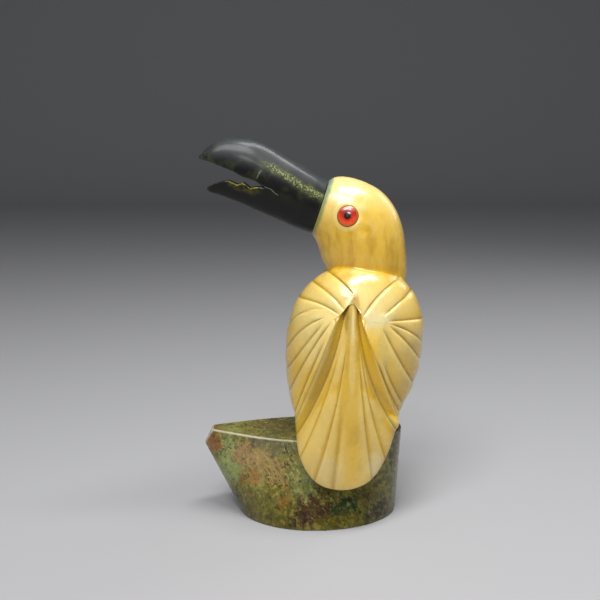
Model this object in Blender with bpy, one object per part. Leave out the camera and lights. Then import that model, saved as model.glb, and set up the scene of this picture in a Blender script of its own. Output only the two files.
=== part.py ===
"""A stone bird with a long open bill, carved with folded wings and a fanned tail, on a stone base.

The foot of the base lies on Z = 0 with its middle at the origin. The bird's back, with the wings
and the tail, faces -Y, and its head is turned so that the bill points along -X and upwards.
"""
import math

import bmesh
import bpy
from mathutils import Vector

# Glue line between two stones, and the play of a glass eye in its socket
GLUE_GAP = 0.0003

# Base: reach of the round foot and of the flat top from the middle, and the overhanging toe
BASE_HEIGHT = 0.0430
FOOT_LEFT = 0.0388
FOOT_RIGHT = 0.0410
FOOT_FRONT = 0.0345
FOOT_BACK = 0.0300
TOP_RIGHT = 0.0436
TOP_BACK = 0.0190
FOOT_MIDDLE_Y = 0.0045
TOE_MIDDLE_Y = 0.0020
TOE_OVERHANG = 0.0228
TOE_CUT = 0.0086
TOE_CUT_LEAN = math.radians(26)
FOOT_CHAMFER = 0.0025
FOOT_CHAMFER_LEAN = math.radians(-52)
# Space between the hanging tail and the front of the base behind it
TAIL_CLEARANCE = 0.0028
BASE_EDGE = 0.0008
BASE_SQUARENESS_FOOT = 1.95
BASE_SQUARENESS_TOE = 1.08
BASE_SQUARENESS_BACK = 2.5
BASE_SIDES = 56
BASE_LAYERS = 7

# Body from the seat to the neck: height above the seat, middle X, half width, reach to the back
# of the bird (-Y) and reach to its breast (+Y)
BODY_STATIONS = (
    (0.0000, 0.0135, 0.0165, 0.0185, 0.0140),
    (0.0060, 0.0138, 0.0190, 0.0235, 0.0175),
    (0.0167, 0.0145, 0.0236, 0.0280, 0.0210),
    (0.0317, 0.0172, 0.0290, 0.0290, 0.0232),
    (0.0467, 0.0183, 0.0308, 0.0285, 0.0242),
    (0.0567, 0.0195, 0.0300, 0.0270, 0.0242),
    (0.0667, 0.0207, 0.0260, 0.0225, 0.0232),
    (0.0740, 0.0230, 0.0216, 0.0178, 0.0220),
    (0.0807, 0.0248, 0.0203, 0.0152, 0.0212),
)
BODY_LAYERS = 18
BODY_SIDES = 40
SEAT_Z = BASE_HEIGHT + GLUE_GAP
NECK_Z = SEAT_Z + BODY_STATIONS[-1][0]

# Bill: the slanted glue facet of the head, its height above the seat, and the rise of the bill
FACET_X = 0.00195
FACET_HEIGHT = 0.11245
BILL_RISE = math.radians(18.3)
FACET_TOP = 0.0131
FACET_BOTTOM = 0.0143
FACET_HALF_WIDTH = 0.0115

# Neck and head: share of the turn from the neck to the facet, then how far the throat, the nape and
# the half thickness lie beyond an even change from the neck to the facet
HEAD_STATIONS = (
    (0.15, -0.0012, 0.0013, 0.0014),
    (0.32, -0.0027, 0.0040, 0.0026),
    (0.46, -0.0032, 0.0060, 0.0032),
    (0.60, -0.0030, 0.0068, 0.0032),
    (0.75, -0.0023, 0.0057, 0.0026),
    (0.90, -0.0011, 0.0038, 0.0012),
    (0.97, -0.0004, 0.0019, 0.0004),
)
HEAD_LAYERS = 18

# Bill: distance from the facet, ridge above the axis, underside below it, half thickness
BILL_STATIONS = (
    (0.0000, FACET_TOP, FACET_BOTTOM, FACET_HALF_WIDTH),
    (0.0065, 0.0147, 0.0144, 0.0113),
    (0.0150, 0.0163, 0.0137, 0.0107),
    (0.0235, 0.0180, 0.0129, 0.0098),
    (0.0349, 0.0201, 0.0118, 0.0084),
    (0.0402, 0.0204, 0.0114, 0.0078),
    (0.0452, 0.0198, 0.0111, 0.0072),
    (0.0501, 0.0185, 0.0109, 0.0065),
    (0.0546, 0.0164, 0.0107, 0.0058),
    (0.0588, 0.0131, 0.0070, 0.0049),
    (0.0618, 0.0093, 0.0020, 0.0037),
    (0.0642, 0.0050, -0.0034, 0.0014),
)
BILL_LAYERS = 24
BILL_SIDES = 28
# Open mouth, along the axis and across it: the edge of the upper half, then the chipped edge of
# the lower half on the way back to the corner of the mouth
MOUTH_OUTLINE = (
    (0.0225, 0.0001), (0.0280, 0.0003), (0.0311, 0.0008), (0.0341, 0.0018), (0.0404, 0.0017),
    (0.0460, 0.0027), (0.0519, 0.0031), (0.0584, 0.0034), (0.0680, 0.0027), (0.0680, -0.0180),
    (0.0560, -0.0180), (0.0555, -0.0085), (0.0528, -0.0060), (0.0495, -0.0036), (0.0466, -0.0023),
    (0.0444, -0.0025), (0.0417, -0.0028), (0.0395, -0.0009), (0.0375, -0.0016), (0.0353, -0.0025),
    (0.0336, -0.0014), (0.0308, -0.0003), (0.0280, -0.0002),
)

# Glass eyes
EYE_DIAMETER = 0.0099
EYE_DOME = 0.0011
EYE_DEPTH = 0.0030
EYE_PLACE = 0.70
EYE_BEARING = 4.0
EYE_SIDES = 24
EYE_RINGS = 5

# Wings and tail: one raised shield on the back. Its outline is the reach from its middle in each
# direction in degrees, with the depth of its rim (Y) there. Its middle is a height above the seat
SHIELD_X = 0.0160
SHIELD_HEIGHT = 0.0317
SHIELD_CROWN_Y = -0.0345
RIM_STATIONS = (
    (-45, 0.0335, -0.0250),
    (-40, 0.0312, -0.0200),
    (-31, 0.0314, -0.0120),
    (-16, 0.0330, -0.0050),
    (4, 0.0358, -0.0020),
    (20, 0.0394, -0.0015),
    (34, 0.0448, -0.0020),
    (43, 0.0478, -0.0030),
    (52, 0.0507, -0.0045),
    (60, 0.0523, -0.0075),
    (72, 0.0530, -0.0095),
    (88, 0.0530, -0.0095),
    (104, 0.0508, -0.0080),
    (124, 0.0445, -0.0040),
    (143, 0.0375, -0.0015),
    (163, 0.0330, -0.0010),
    (183, 0.0313, -0.0020),
    (203, 0.0322, -0.0070),
    (217, 0.0340, -0.0170),
    (227, 0.0385, -0.0240),
    (238, 0.0460, -0.0285),
    (252, 0.0533, -0.0305),
    (266, 0.0545, -0.0310),
    (280, 0.0511, -0.0305),
    (294, 0.0425, -0.0285),
    (307, 0.0355, -0.0262),
)
SHIELD_MIDDLE = Vector((SHIELD_X, SEAT_Z + SHIELD_HEIGHT))
SHIELD_EDGE = 0.0025
SHIELD_LIP = 0.0015
SHIELD_ROOT_DEPTH = 0.0220
SHIELD_INSET = 0.0062
SHIELD_INNER_RINGS = (1.0, 0.85, 0.45)
# The tail's plate hangs free below the first height above the seat, and is one with the body
# above the second
TAIL_THICKNESS = 0.0070
TAIL_FREE_HEIGHT = 0.0047
TAIL_JOINED_HEIGHT = 0.0187
NOTCH = 0.0004
GROOVE = 0.0011
TAIL_GROOVE = 0.0017
VALLEY = 0.0038
INNER_RIDGE = 0.0012
RIDGE_SPREAD = 0.5
TAIL_STEP = -0.0004
SHIELD_LAYERS = 14
# Share of a feather's width, and of its rise out of the cut, for each line on it
FEATHER_PROFILE = ((0.0, 0.0), (0.15, 0.78), (0.5, 1.0), (0.85, 0.78))
TAIL_PROFILE = ((0.0, 0.0), (0.09, 0.8), (0.5, 1.0), (0.91, 0.8))
CAPE_PROFILE = (
    (0.0, 0.0), (0.05, 0.8), (0.15, 0.93), (0.27, 0.97), (0.4, 1.0), (0.5, 1.0), (0.6, 1.0), (0.73, 0.97),
    (0.85, 0.93), (0.95, 0.8),
)

# Cuts of the shield, anticlockwise as seen: direction of the tip from the shield's middle in
# degrees, place of the root beside and above that middle, height of the line above the dome, share
# of the way at which the line starts, and its sideways bow as a share of its length
CUTS = (
    (63, 0.0050, 0.0312, -GROOVE, -0.08, -0.075),
    (102, -0.0009, 0.0378, -GROOVE, -0.08, 0.045),
    (112, -0.0052, 0.0329, -GROOVE, -0.08, 0.070),
    (124, -0.0074, 0.0308, -GROOVE, -0.08, 0.090),
    (143, -0.0096, 0.0306, -GROOVE, 0.35, 0.240),
    (163, -0.0122, 0.0300, -GROOVE, -0.02, 0.110),
    (180, -0.0122, 0.0280, -GROOVE, 0.00, 0.030),
    (200, -0.0098, 0.0272, -GROOVE, -0.08, 0.040),
    (216, -0.0086, 0.0272, -GROOVE, 0.12, 0.020),
    (220, -0.0072, 0.0280, INNER_RIDGE, -0.10, 0.000),
    (228, -0.0030, 0.0330, -VALLEY, -0.06, -0.015),
    (238, -0.0017, 0.0352, -TAIL_GROOVE, 0.25, -0.035),
    (251, -0.0011, 0.0360, -TAIL_GROOVE, 0.14, -0.030),
    (261, -0.0006, 0.0363, -TAIL_GROOVE, 0.50, -0.005),
    (282, 0.0000, 0.0360, -TAIL_GROOVE, 0.25, 0.010),
    (293, 0.0006, 0.0352, -TAIL_GROOVE, 0.22, 0.035),
    (311, 0.0017, 0.0330, -VALLEY, -0.06, 0.020),
    (319, 0.0052, 0.0256, INNER_RIDGE, -0.10, 0.000),
    (322.5, 0.0074, 0.0249, -GROOVE, 0.26, 0.030),
    (329, 0.0100, 0.0245, -GROOVE, 0.34, 0.035),
    (348, 0.0152, 0.0240, -GROOVE, -0.08, 0.010),
    (367, 0.0188, 0.0250, -GROOVE, -0.08, -0.045),
    (381, 0.0195, 0.0262, -GROOVE, -0.08, -0.070),
    (395.5, 0.0184, 0.0278, -GROOVE, -0.08, -0.025),
    (413, 0.0160, 0.0310, -GROOVE, -0.08, -0.020),
    (423, 0.0050, 0.0312, -GROOVE, -0.08, -0.075),
)
CAPE_END = 102
TAIL = (228, 311)
# A line gains its height over this share of its way, and loses a share of it at the polished rim
LINE_RAMP = 0.25
RIM_FADE = 0.4
RIM_FADE_POWER = 8
NOTCH_POWER = 4

# Edges that turn by less than this are polished round
SMOOTH_ANGLE = math.radians(32)
# Points nearer to a cutting plane than this lie on it
ON_PLANE = 1e-7

STONES = {
    "yellow_stone": ((0.78, 0.58, 0.24), 0.22),
    "black_stone": ((0.02, 0.022, 0.02), 0.18),
    "mottled_stone": ((0.16, 0.17, 0.08), 0.25),
    "red_glass": ((0.75, 0.05, 0.02), 0.05),
}


def clear_scene():
    for item in list(bpy.data.objects):
        bpy.data.objects.remove(item, do_unlink=True)


def make_collection(name):
    collection = bpy.data.collections.new(name)
    bpy.context.scene.collection.children.link(collection)
    return collection


def make_material(name):
    colour, roughness = STONES[name]
    material = bpy.data.materials.new(name)
    material.use_nodes = True
    shader = material.node_tree.nodes["Principled BSDF"]
    shader.inputs["Base Color"].default_value = (*colour, 1.0)
    shader.inputs["Roughness"].default_value = roughness
    shader.inputs["Metallic"].default_value = 0.0
    return material


def smooth_between(stations, place):
    """Values at a place on the smooth curve through rows of (place, value, ...)."""
    last = len(stations) - 1
    left = 0
    while left < last - 1 and stations[left + 1][0] < place:
        left += 1
    start, end = stations[left], stations[left + 1]
    before, after = stations[max(left - 1, 0)], stations[min(left + 2, last)]
    span = end[0] - start[0]
    t = min(max((place - start[0]) / span, 0.0), 1.0)
    values = []
    for k in range(1, len(start)):
        slope_in = (end[k] - before[k]) / (end[0] - before[0]) * span
        slope_out = (after[k] - start[k]) / (after[0] - start[0]) * span
        values.append(
            (2 * t**3 - 3 * t**2 + 1) * start[k] + (t**3 - 2 * t**2 + t) * slope_in
            + (3 * t**2 - 2 * t**3) * end[k] + (t**3 - t**2) * slope_out
        )
    return values


def ellipse_ring(middle, across, half_across, forward, half_forward, sides):
    """Points of an ellipse that lies along two directions."""
    ring = []
    for k in range(sides):
        turn = 2 * math.pi * k / sides
        ring.append(
            middle + across * (half_across * math.cos(turn)) + forward * (half_forward * math.sin(turn))
        )
    return ring


def add_loft(name, rings, collection, material):
    """One closed solid through rings of equal count, with both ends closed."""
    mesh = bmesh.new()
    loops = [[mesh.verts.new(point) for point in ring] for ring in rings]
    count = len(rings[0])
    for lower, upper in zip(loops, loops[1:]):
        for k in range(count):
            following = (k + 1) % count
            mesh.faces.new((lower[k], lower[following], upper[following], upper[k]))
    ends = [mesh.faces.new(loops[0]), mesh.faces.new(loops[-1])]
    for end in ends:
        end.normal_update()
    bmesh.ops.triangulate(mesh, faces=ends, ngon_method="EAR_CLIP")
    bmesh.ops.recalc_face_normals(mesh, faces=mesh.faces)
    data = bpy.data.meshes.new(name)
    mesh.to_mesh(data)
    mesh.free()
    data.materials.append(material)
    data.shade_smooth()
    data.set_sharp_from_angle(angle=SMOOTH_ANGLE)
    part = bpy.data.objects.new(name, data)
    collection.objects.link(part)
    return part


def trim(part, point, normal):
    """Cut off what lies beyond a plane and close the cut."""
    mesh = bmesh.new()
    mesh.from_mesh(part.data)
    geometry = list(mesh.verts) + list(mesh.edges) + list(mesh.faces)
    cut = bmesh.ops.bisect_plane(
        mesh, geom=geometry, plane_co=point, plane_no=normal, clear_outer=True, dist=ON_PLANE
    )
    rim = [item for item in cut["geom_cut"] if isinstance(item, bmesh.types.BMEdge)]
    bmesh.ops.contextual_create(mesh, geom=rim)
    bmesh.ops.recalc_face_normals(mesh, faces=mesh.faces)
    mesh.to_mesh(part.data)
    mesh.free()


def make_cutter(part, collection):
    """Keep a solid as a hidden tool that only cuts."""
    for owner in list(part.users_collection):
        owner.objects.unlink(part)
    collection.objects.link(part)
    part.hide_render = True
    part.display_type = "WIRE"
    return part


def join_shape(part, tool, operation):
    boolean = part.modifiers.new(tool.name, "BOOLEAN")
    boolean.operation = operation
    boolean.solver = "EXACT"
    boolean.object = tool


def tail_tip_z():
    return min(SHIELD_MIDDLE.y + math.sin(math.radians(row[0])) * row[1] for row in RIM_STATIONS)


def base_ring(height, inset):
    """Outline of the base at a height: a rounded foot that turns into a drop shape with a toe."""
    share = height / BASE_HEIGHT
    front_share = min(height / tail_tip_z(), 1.0)
    tail_back = SHIELD_CROWN_Y + TAIL_THICKNESS
    top_front = TOE_MIDDLE_Y - tail_back - TAIL_CLEARANCE
    ring = []
    for k in range(BASE_SIDES):
        turn = 2 * math.pi * k / BASE_SIDES
        across, along = math.cos(turn), math.sin(turn)
        rightness = (1 + across) / 2
        toe = BASE_SQUARENESS_FOOT + (BASE_SQUARENESS_TOE - BASE_SQUARENESS_FOOT) * share
        far = BASE_SQUARENESS_FOOT + (BASE_SQUARENESS_BACK - BASE_SQUARENESS_FOOT) * share
        squareness = toe + (far - toe) * rightness
        if across > 0:
            reach_x = FOOT_RIGHT + (TOP_RIGHT - FOOT_RIGHT) * share
        else:
            reach_x = FOOT_LEFT + TOE_OVERHANG * share
        if along > 0:
            reach_y = FOOT_BACK + (TOP_BACK - FOOT_BACK) * share
        else:
            reach_y = FOOT_FRONT + (top_front - FOOT_FRONT) * front_share
        power = 2 / squareness
        x = (reach_x - inset) * math.copysign(abs(across) ** power, across)
        y = (reach_y - inset) * math.copysign(abs(along) ** power, along)
        middle_y = TOE_MIDDLE_Y + (FOOT_MIDDLE_Y - TOE_MIDDLE_Y) * rightness
        ring.append(Vector((x, y + middle_y, height)))
    return ring


def make_base(collection, material):
    rings = [base_ring(0.0, BASE_EDGE)]
    for k in range(BASE_LAYERS + 1):
        height = BASE_EDGE + (BASE_HEIGHT - 2 * BASE_EDGE) * k / BASE_LAYERS
        rings.append(base_ring(height, 0.0))
    rings.append(base_ring(BASE_HEIGHT, BASE_EDGE))
    base = add_loft("base", rings, collection, material)
    toe_x = -FOOT_LEFT - TOE_OVERHANG + TOE_CUT
    lean = Vector((-math.cos(TOE_CUT_LEAN), 0.0, math.sin(TOE_CUT_LEAN)))
    trim(base, Vector((toe_x, 0.0, BASE_HEIGHT)), lean)
    lean = Vector((math.cos(FOOT_CHAMFER_LEAN), 0.0, math.sin(FOOT_CHAMFER_LEAN)))
    trim(base, Vector((FOOT_RIGHT - FOOT_CHAMFER, 0.0, 0.0)), lean)
    return base


def bill_axes():
    """Middle of the glue facet, the direction of the bill and the direction across it."""
    _, _, _, neck_back, neck_breast = BODY_STATIONS[-1]
    middle = Vector((FACET_X, (neck_breast - neck_back) / 2, SEAT_Z + FACET_HEIGHT))
    along = Vector((-math.cos(BILL_RISE), 0.0, math.sin(BILL_RISE)))
    up = Vector((math.sin(BILL_RISE), 0.0, math.cos(BILL_RISE)))
    return middle, along, up


def head_section(turn_share):
    """Middle, outward direction and half sizes of one section between the neck and the facet.

    The sections turn about the point in front of the throat where the neck's plane and the
    facet's plane meet.
    """
    middle, _, up = bill_axes()
    to_facet = (middle.z - NECK_Z) / up.z
    pivot = middle - up * to_facet
    _, neck_x, neck_half, neck_back, neck_breast = BODY_STATIONS[-1]
    neck_reach = neck_x - pivot.x
    neck = (neck_reach - neck_half, neck_reach + neck_half, (neck_back + neck_breast) / 2)
    facet = (to_facet - FACET_BOTTOM, to_facet + FACET_TOP, FACET_HALF_WIDTH)
    stations = [(0.0,) + neck]
    for share, *beyond in HEAD_STATIONS:
        even = [start + (end - start) * share for start, end in zip(neck, facet)]
        stations.append((share,) + tuple(value + more for value, more in zip(even, beyond)))
    stations.append((1.0,) + facet)
    throat, nape, half_width = smooth_between(stations, turn_share)
    turn = turn_share * (math.pi / 2 - BILL_RISE)
    outward = Vector((math.cos(turn), 0.0, math.sin(turn)))
    return pivot + outward * ((throat + nape) / 2), outward, (nape - throat) / 2, half_width


def body_rings():
    rings = []
    sideways = Vector((1.0, 0.0, 0.0))
    forward = Vector((0.0, 1.0, 0.0))
    for k in range(BODY_LAYERS):
        rise = BODY_STATIONS[-1][0] * k / BODY_LAYERS
        middle_x, half_width, back, breast = smooth_between(BODY_STATIONS, rise)
        middle = Vector((middle_x, (breast - back) / 2, SEAT_Z + rise))
        rings.append(ellipse_ring(middle, sideways, half_width, forward, (back + breast) / 2, BODY_SIDES))
    for k in range(HEAD_LAYERS + 1):
        middle, outward, reach, half_width = head_section(k / HEAD_LAYERS)
        rings.append(ellipse_ring(middle, outward, reach, forward, half_width, BODY_SIDES))
    return rings


def rim_at(bearing):
    """Reach and depth of the shield's rim in one direction, in degrees."""
    first = RIM_STATIONS[0][0]
    turned = (bearing - first) % 360 + first
    before = (RIM_STATIONS[-1][0] - 360,) + RIM_STATIONS[-1][1:]
    after = tuple((row[0] + 360,) + row[1:] for row in RIM_STATIONS[:2])
    return smooth_between((before,) + RIM_STATIONS + after, turned)


def shield_columns():
    """Lines from root to tip: direction, root, plain height, line height, start, bow and notch."""
    columns = []
    for here, following in zip(CUTS, CUTS[1:]):
        cape = here[0] < CAPE_END
        tail = here[0] >= TAIL[0] and following[0] <= TAIL[1]
        beside_valley = -VALLEY in (here[3], following[3])
        crest = TAIL_STEP if tail else max(here[3], following[3], 0.0) * RIDGE_SPREAD
        slope_from, slope_to = here[3], following[3]
        if tail and beside_valley:
            slope_from, slope_to = (slope_from, crest) if slope_from == -VALLEY else (crest, slope_to)
        profile = CAPE_PROFILE if cape else TAIL_PROFILE if tail else FEATHER_PROFILE
        for share, arch in profile:
            bearing, root_x, root_z, level, start, bow = (
                a + (b - a) * share for a, b in zip(here, following)
            )
            height = level + (crest - level) * arch
            if beside_valley and share > 0:
                height = slope_from + (slope_to - slope_from) * share
            notch = 0.0 if tail else NOTCH * (1 - arch)
            columns.append((bearing, root_x, root_z, crest, height, start, bow, notch))
    return columns


def shield_front(column, share):
    """Point of the carved front on one line, from its root (0) to its tip (1)."""
    bearing, root_x, root_z, plain_height, line_height, start, bow, notch = column
    reach, rim_y = rim_at(bearing)
    direction = Vector((math.cos(math.radians(bearing)), math.sin(math.radians(bearing))))
    root = Vector((root_x, root_z))
    tip = direction * (reach - notch)
    side = Vector(((tip - root).y, (root - tip).x))
    offset = root.lerp(tip, share) + side * (bow * 4 * share * (1 - share))
    bearing_here = math.degrees(math.atan2(offset.y, offset.x))
    reach_here, rim_y_here = rim_at(bearing_here)
    across = min(offset.length / (reach_here - notch * share**NOTCH_POWER), 1.0)
    dome = rim_y_here + (SHIELD_CROWN_Y - rim_y_here) * math.sqrt(1 - across**2)
    opened = min(max((share - start) / LINE_RAMP, 0.0), 1.0)
    height = plain_height + (line_height - plain_height) * opened
    polished = 1 - RIM_FADE * share**RIM_FADE_POWER
    place = SHIELD_MIDDLE + offset
    return Vector((place.x, dome - height * polished, place.y))


def shield_back(bearing, across):
    """Point of the plain inner side, at a share of the reach in one direction."""
    reach, rim_y = rim_at(bearing)
    distance = (reach - SHIELD_INSET) * across
    turn = math.radians(bearing)
    x = SHIELD_MIDDLE.x + math.cos(turn) * distance
    z = SHIELD_MIDDLE.y + math.sin(turn) * distance
    joined = (z - SEAT_Z - TAIL_FREE_HEIGHT) / (TAIL_JOINED_HEIGHT - TAIL_FREE_HEIGHT)
    joined = min(max(joined, 0.0), 1.0)
    depth = TAIL_THICKNESS + (SHIELD_ROOT_DEPTH - TAIL_THICKNESS) * joined
    edge_y = rim_y + SHIELD_EDGE
    crown_y = SHIELD_CROWN_Y + depth
    return Vector((x, edge_y + (crown_y - edge_y) * math.sqrt(1 - across**2), z))


def shield_rings():
    columns = shield_columns()
    rings = []
    for layer in range(SHIELD_LAYERS + 1):
        share = math.sin(math.pi / 2 * layer / SHIELD_LAYERS)
        rings.append([shield_front(column, share) for column in columns])
    rings.append([point + Vector((0.0, SHIELD_LIP, 0.0)) for point in rings[-1]])
    for across in SHIELD_INNER_RINGS:
        rings.append([shield_back(column[0], across) for column in columns])
    return rings


def bill_rings():
    rings = []
    middle, along, up = bill_axes()
    sideways = Vector((0.0, 1.0, 0.0))
    length = BILL_STATIONS[-1][0]
    for k in range(BILL_LAYERS + 1):
        distance = length * math.sin(math.pi / 2 * k / BILL_LAYERS)
        ridge, underside, half_width = smooth_between(BILL_STATIONS, distance)
        centre = middle + along * (distance + GLUE_GAP) + up * ((ridge - underside) / 2)
        rings.append(ellipse_ring(centre, up, (ridge + underside) / 2, sideways, half_width, BILL_SIDES))
    return rings


def mouth_rings():
    """The open mouth as a prism across the bill."""
    middle, along, up = bill_axes()
    reach = Vector((0.0, 2 * FACET_HALF_WIDTH, 0.0))
    outline = [middle + along * (distance + GLUE_GAP) + up * rise for distance, rise in MOUTH_OUTLINE]
    return [[point - reach for point in outline], [point + reach for point in outline]]


def eye_seat(side):
    """Place on the head for an eye, on the -Y side for -1, and the direction in which it looks."""
    def surface(turn_share, bearing):
        middle, outward, reach, half_width = head_section(turn_share)
        turn = math.radians(bearing)
        sideways = Vector((0.0, side * half_width * math.cos(turn), 0.0))
        return middle + outward * (reach * math.sin(turn)) + sideways

    step = 0.01
    place = surface(EYE_PLACE, EYE_BEARING)
    lengthwise = surface(EYE_PLACE + step, EYE_BEARING) - surface(EYE_PLACE - step, EYE_BEARING)
    upwards = surface(EYE_PLACE, EYE_BEARING + 1) - surface(EYE_PLACE, EYE_BEARING - 1)
    look = lengthwise.cross(upwards).normalized()
    if look.y * side < 0:
        look = -look
    return place, look


def turned_solid(name, profile, place, look, collection, material):
    """A solid turned from (radius, height) rows about an axis through a place."""
    first = Vector((0.0, 0.0, 1.0)).cross(look).normalized()
    second = look.cross(first)
    rings = []
    for radius, height in profile:
        rings.append(ellipse_ring(place + look * height, first, radius, second, radius, EYE_SIDES))
    return add_loft(name, rings, collection, material)


def eye_profile():
    radius = EYE_DIAMETER / 2
    profile = [(radius, -EYE_DEPTH)]
    for k in range(EYE_RINGS):
        turn = math.pi / 2 * k / EYE_RINGS
        profile.append((radius * math.cos(turn), EYE_DOME * math.sin(turn)))
    return profile


def socket_profile():
    radius = EYE_DIAMETER / 2 + GLUE_GAP
    return [(radius, -EYE_DEPTH - GLUE_GAP), (radius, EYE_DIAMETER)]


def make_bird(collection, cutters, material):
    bird = add_loft("bird", body_rings(), collection, material)
    shield = make_cutter(add_loft("wings_and_tail", shield_rings(), cutters, material), cutters)
    join_shape(bird, shield, "UNION")
    for side, name in ((-1, "socket_left"), (1, "socket_right")):
        place, look = eye_seat(side)
        socket = turned_solid(name, socket_profile(), place, look, cutters, material)
        join_shape(bird, make_cutter(socket, cutters), "DIFFERENCE")
    return bird


def make_beak(collection, cutters, material):
    beak = add_loft("beak", bill_rings(), collection, material)
    mouth = make_cutter(add_loft("mouth", mouth_rings(), cutters, material), cutters)
    join_shape(beak, mouth, "DIFFERENCE")
    return beak


def main():
    clear_scene()
    pieces = make_collection("stone_bird")
    cutters = make_collection("cutters")
    materials = {name: make_material(name) for name in STONES}
    make_base(pieces, materials["mottled_stone"])
    make_bird(pieces, cutters, materials["yellow_stone"])
    make_beak(pieces, cutters, materials["black_stone"])
    for side, name in ((-1, "eye_left"), (1, "eye_right")):
        place, look = eye_seat(side)
        turned_solid(name, eye_profile(), place, look, pieces, materials["red_glass"])


main()
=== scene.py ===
# %% [markdown]
# # A stone parrot, carved and polished
# The real object is glued together from three stones and two glass eyes: a yellow bird, a black bill
# and a mottled base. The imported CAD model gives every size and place. This lesson replaces each of
# its solids with a finer one in the same space, and gives it the finish of polished stone.

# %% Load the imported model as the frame
import math

import bmesh
import bpy
import numpy as np
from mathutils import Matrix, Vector, kdtree


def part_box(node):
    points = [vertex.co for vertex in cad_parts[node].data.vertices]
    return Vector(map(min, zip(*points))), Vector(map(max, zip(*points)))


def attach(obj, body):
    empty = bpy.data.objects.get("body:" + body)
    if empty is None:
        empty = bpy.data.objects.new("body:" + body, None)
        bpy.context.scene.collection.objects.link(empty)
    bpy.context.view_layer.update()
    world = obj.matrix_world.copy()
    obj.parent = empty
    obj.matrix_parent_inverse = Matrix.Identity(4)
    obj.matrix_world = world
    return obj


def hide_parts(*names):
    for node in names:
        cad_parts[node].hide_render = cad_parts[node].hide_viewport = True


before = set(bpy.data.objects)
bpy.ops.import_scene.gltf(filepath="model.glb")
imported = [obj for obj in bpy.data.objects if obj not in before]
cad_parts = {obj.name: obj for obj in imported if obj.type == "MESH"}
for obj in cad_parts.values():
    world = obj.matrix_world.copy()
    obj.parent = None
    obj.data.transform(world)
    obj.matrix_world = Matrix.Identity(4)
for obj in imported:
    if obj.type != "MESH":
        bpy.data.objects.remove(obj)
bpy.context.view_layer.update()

print("CAD nodes:", sorted(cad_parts))

# %% [markdown]
# ## How each stone gets its shape
# A mason saws a block, and grinds it round station by station. A loft does the same: the outline is
# given at a few stations, and a smooth curve runs through them. It could be sculpted freely, but then
# it would no longer follow the measured sizes, so each stone starts here as a plain cylinder whose
# side is subdivided into layers, and whose points are then moved to the lofted surface.

# %% Select one piece, and enter and leave edit mode
def start_clean():
    """Leave edit mode and deselect everything, since an operator acts on all that is selected."""
    if bpy.context.object and bpy.context.object.mode != "OBJECT":
        bpy.ops.object.mode_set(mode="OBJECT")
    bpy.ops.object.select_all(action="DESELECT")


def pick(piece):
    start_clean()
    piece.select_set(True)
    bpy.context.view_layer.objects.active = piece


def edit_all(piece):
    """Enter edit mode on a piece with all of it selected."""
    pick(piece)
    bpy.ops.object.mode_set(mode="EDIT")
    bpy.ops.mesh.select_all(action="SELECT")


def edit_edges(piece, wanted):
    """Enter edit mode with only those edges selected whose two ends are wanted."""
    bpy.ops.object.mode_set(mode="EDIT")
    bpy.ops.mesh.select_mode(type="EDGE")
    bpy.ops.mesh.select_all(action="DESELECT")
    work = bmesh.from_edit_mesh(piece.data)
    for edge in work.edges:
        edge.select_set(wanted(*(vert.co for vert in edge.verts)))
    bmesh.update_edit_mesh(piece.data)


def leave_edit():
    bpy.ops.object.mode_set(mode="OBJECT")


# %% Smooth curves
def smooth_between(stations, places):
    """Values at places on the smooth curve through rows of (place, value, ...), one row a value."""
    rows = np.array(stations, dtype=float)
    places = np.atleast_1d(np.asarray(places, dtype=float))
    left = np.clip(np.searchsorted(rows[:, 0], places, side="left") - 1, 0, len(rows) - 2)
    start, end = rows[left], rows[left + 1]
    before, after = rows[np.maximum(left - 1, 0)], rows[np.minimum(left + 2, len(rows) - 1)]
    span = end[:, :1] - start[:, :1]
    t = np.clip((places[:, None] - start[:, :1]) / span, 0.0, 1.0)
    slope_in = (end[:, 1:] - before[:, 1:]) / (end[:, :1] - before[:, :1]) * span
    slope_out = (after[:, 1:] - start[:, 1:]) / (after[:, :1] - start[:, :1]) * span
    values = (2 * t**3 - 3 * t**2 + 1) * start[:, 1:] + (t**3 - 2 * t**2 + t) * slope_in
    values += (3 * t**2 - 2 * t**3) * end[:, 1:] + (t**3 - t**2) * slope_out
    return values.T


def ease(value):
    """A share that starts and ends softly."""
    return value * value * (3 - 2 * value)


def bell(distance, width):
    """1 at no distance, and fading to nothing on both sides."""
    return np.exp(-((distance / width) ** 2))


print("an eased step by quarters:", [round(ease(k / 4), 3) for k in range(5)])

# %% Read and move the points of a piece
def read_rows(items, field, kind, width):
    """One row of numbers for each vertex or edge."""
    rows = np.empty(len(items) * width, dtype=kind)
    items.foreach_get(field, rows)
    return rows.reshape(-1, width)


def points_of(piece):
    return read_rows(piece.data.vertices, "co", np.float32, 3).astype(float)


def normals_of(piece):
    return read_rows(piece.data.vertices, "normal", np.float32, 3)


def edges_of(piece):
    return read_rows(piece.data.edges, "vertices", np.int32, 2)


def move_points(piece, points):
    piece.data.vertices.foreach_set("co", points.astype(np.float32).ravel())
    piece.data.update()


def turn_faces_out(piece):
    edit_all(piece)
    bpy.ops.mesh.normals_make_consistent(inside=False)
    leave_edit()


# %% The sleeve that every stone starts from
def subdivide_upright(piece, cuts):
    """Cut every upright edge of the sleeve into equal lengths, which adds layers."""
    edit_edges(piece, lambda low, high: (low.xy - high.xy).length < 1e-6)
    bpy.ops.mesh.subdivide(number_cuts=cuts)
    leave_edit()


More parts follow.
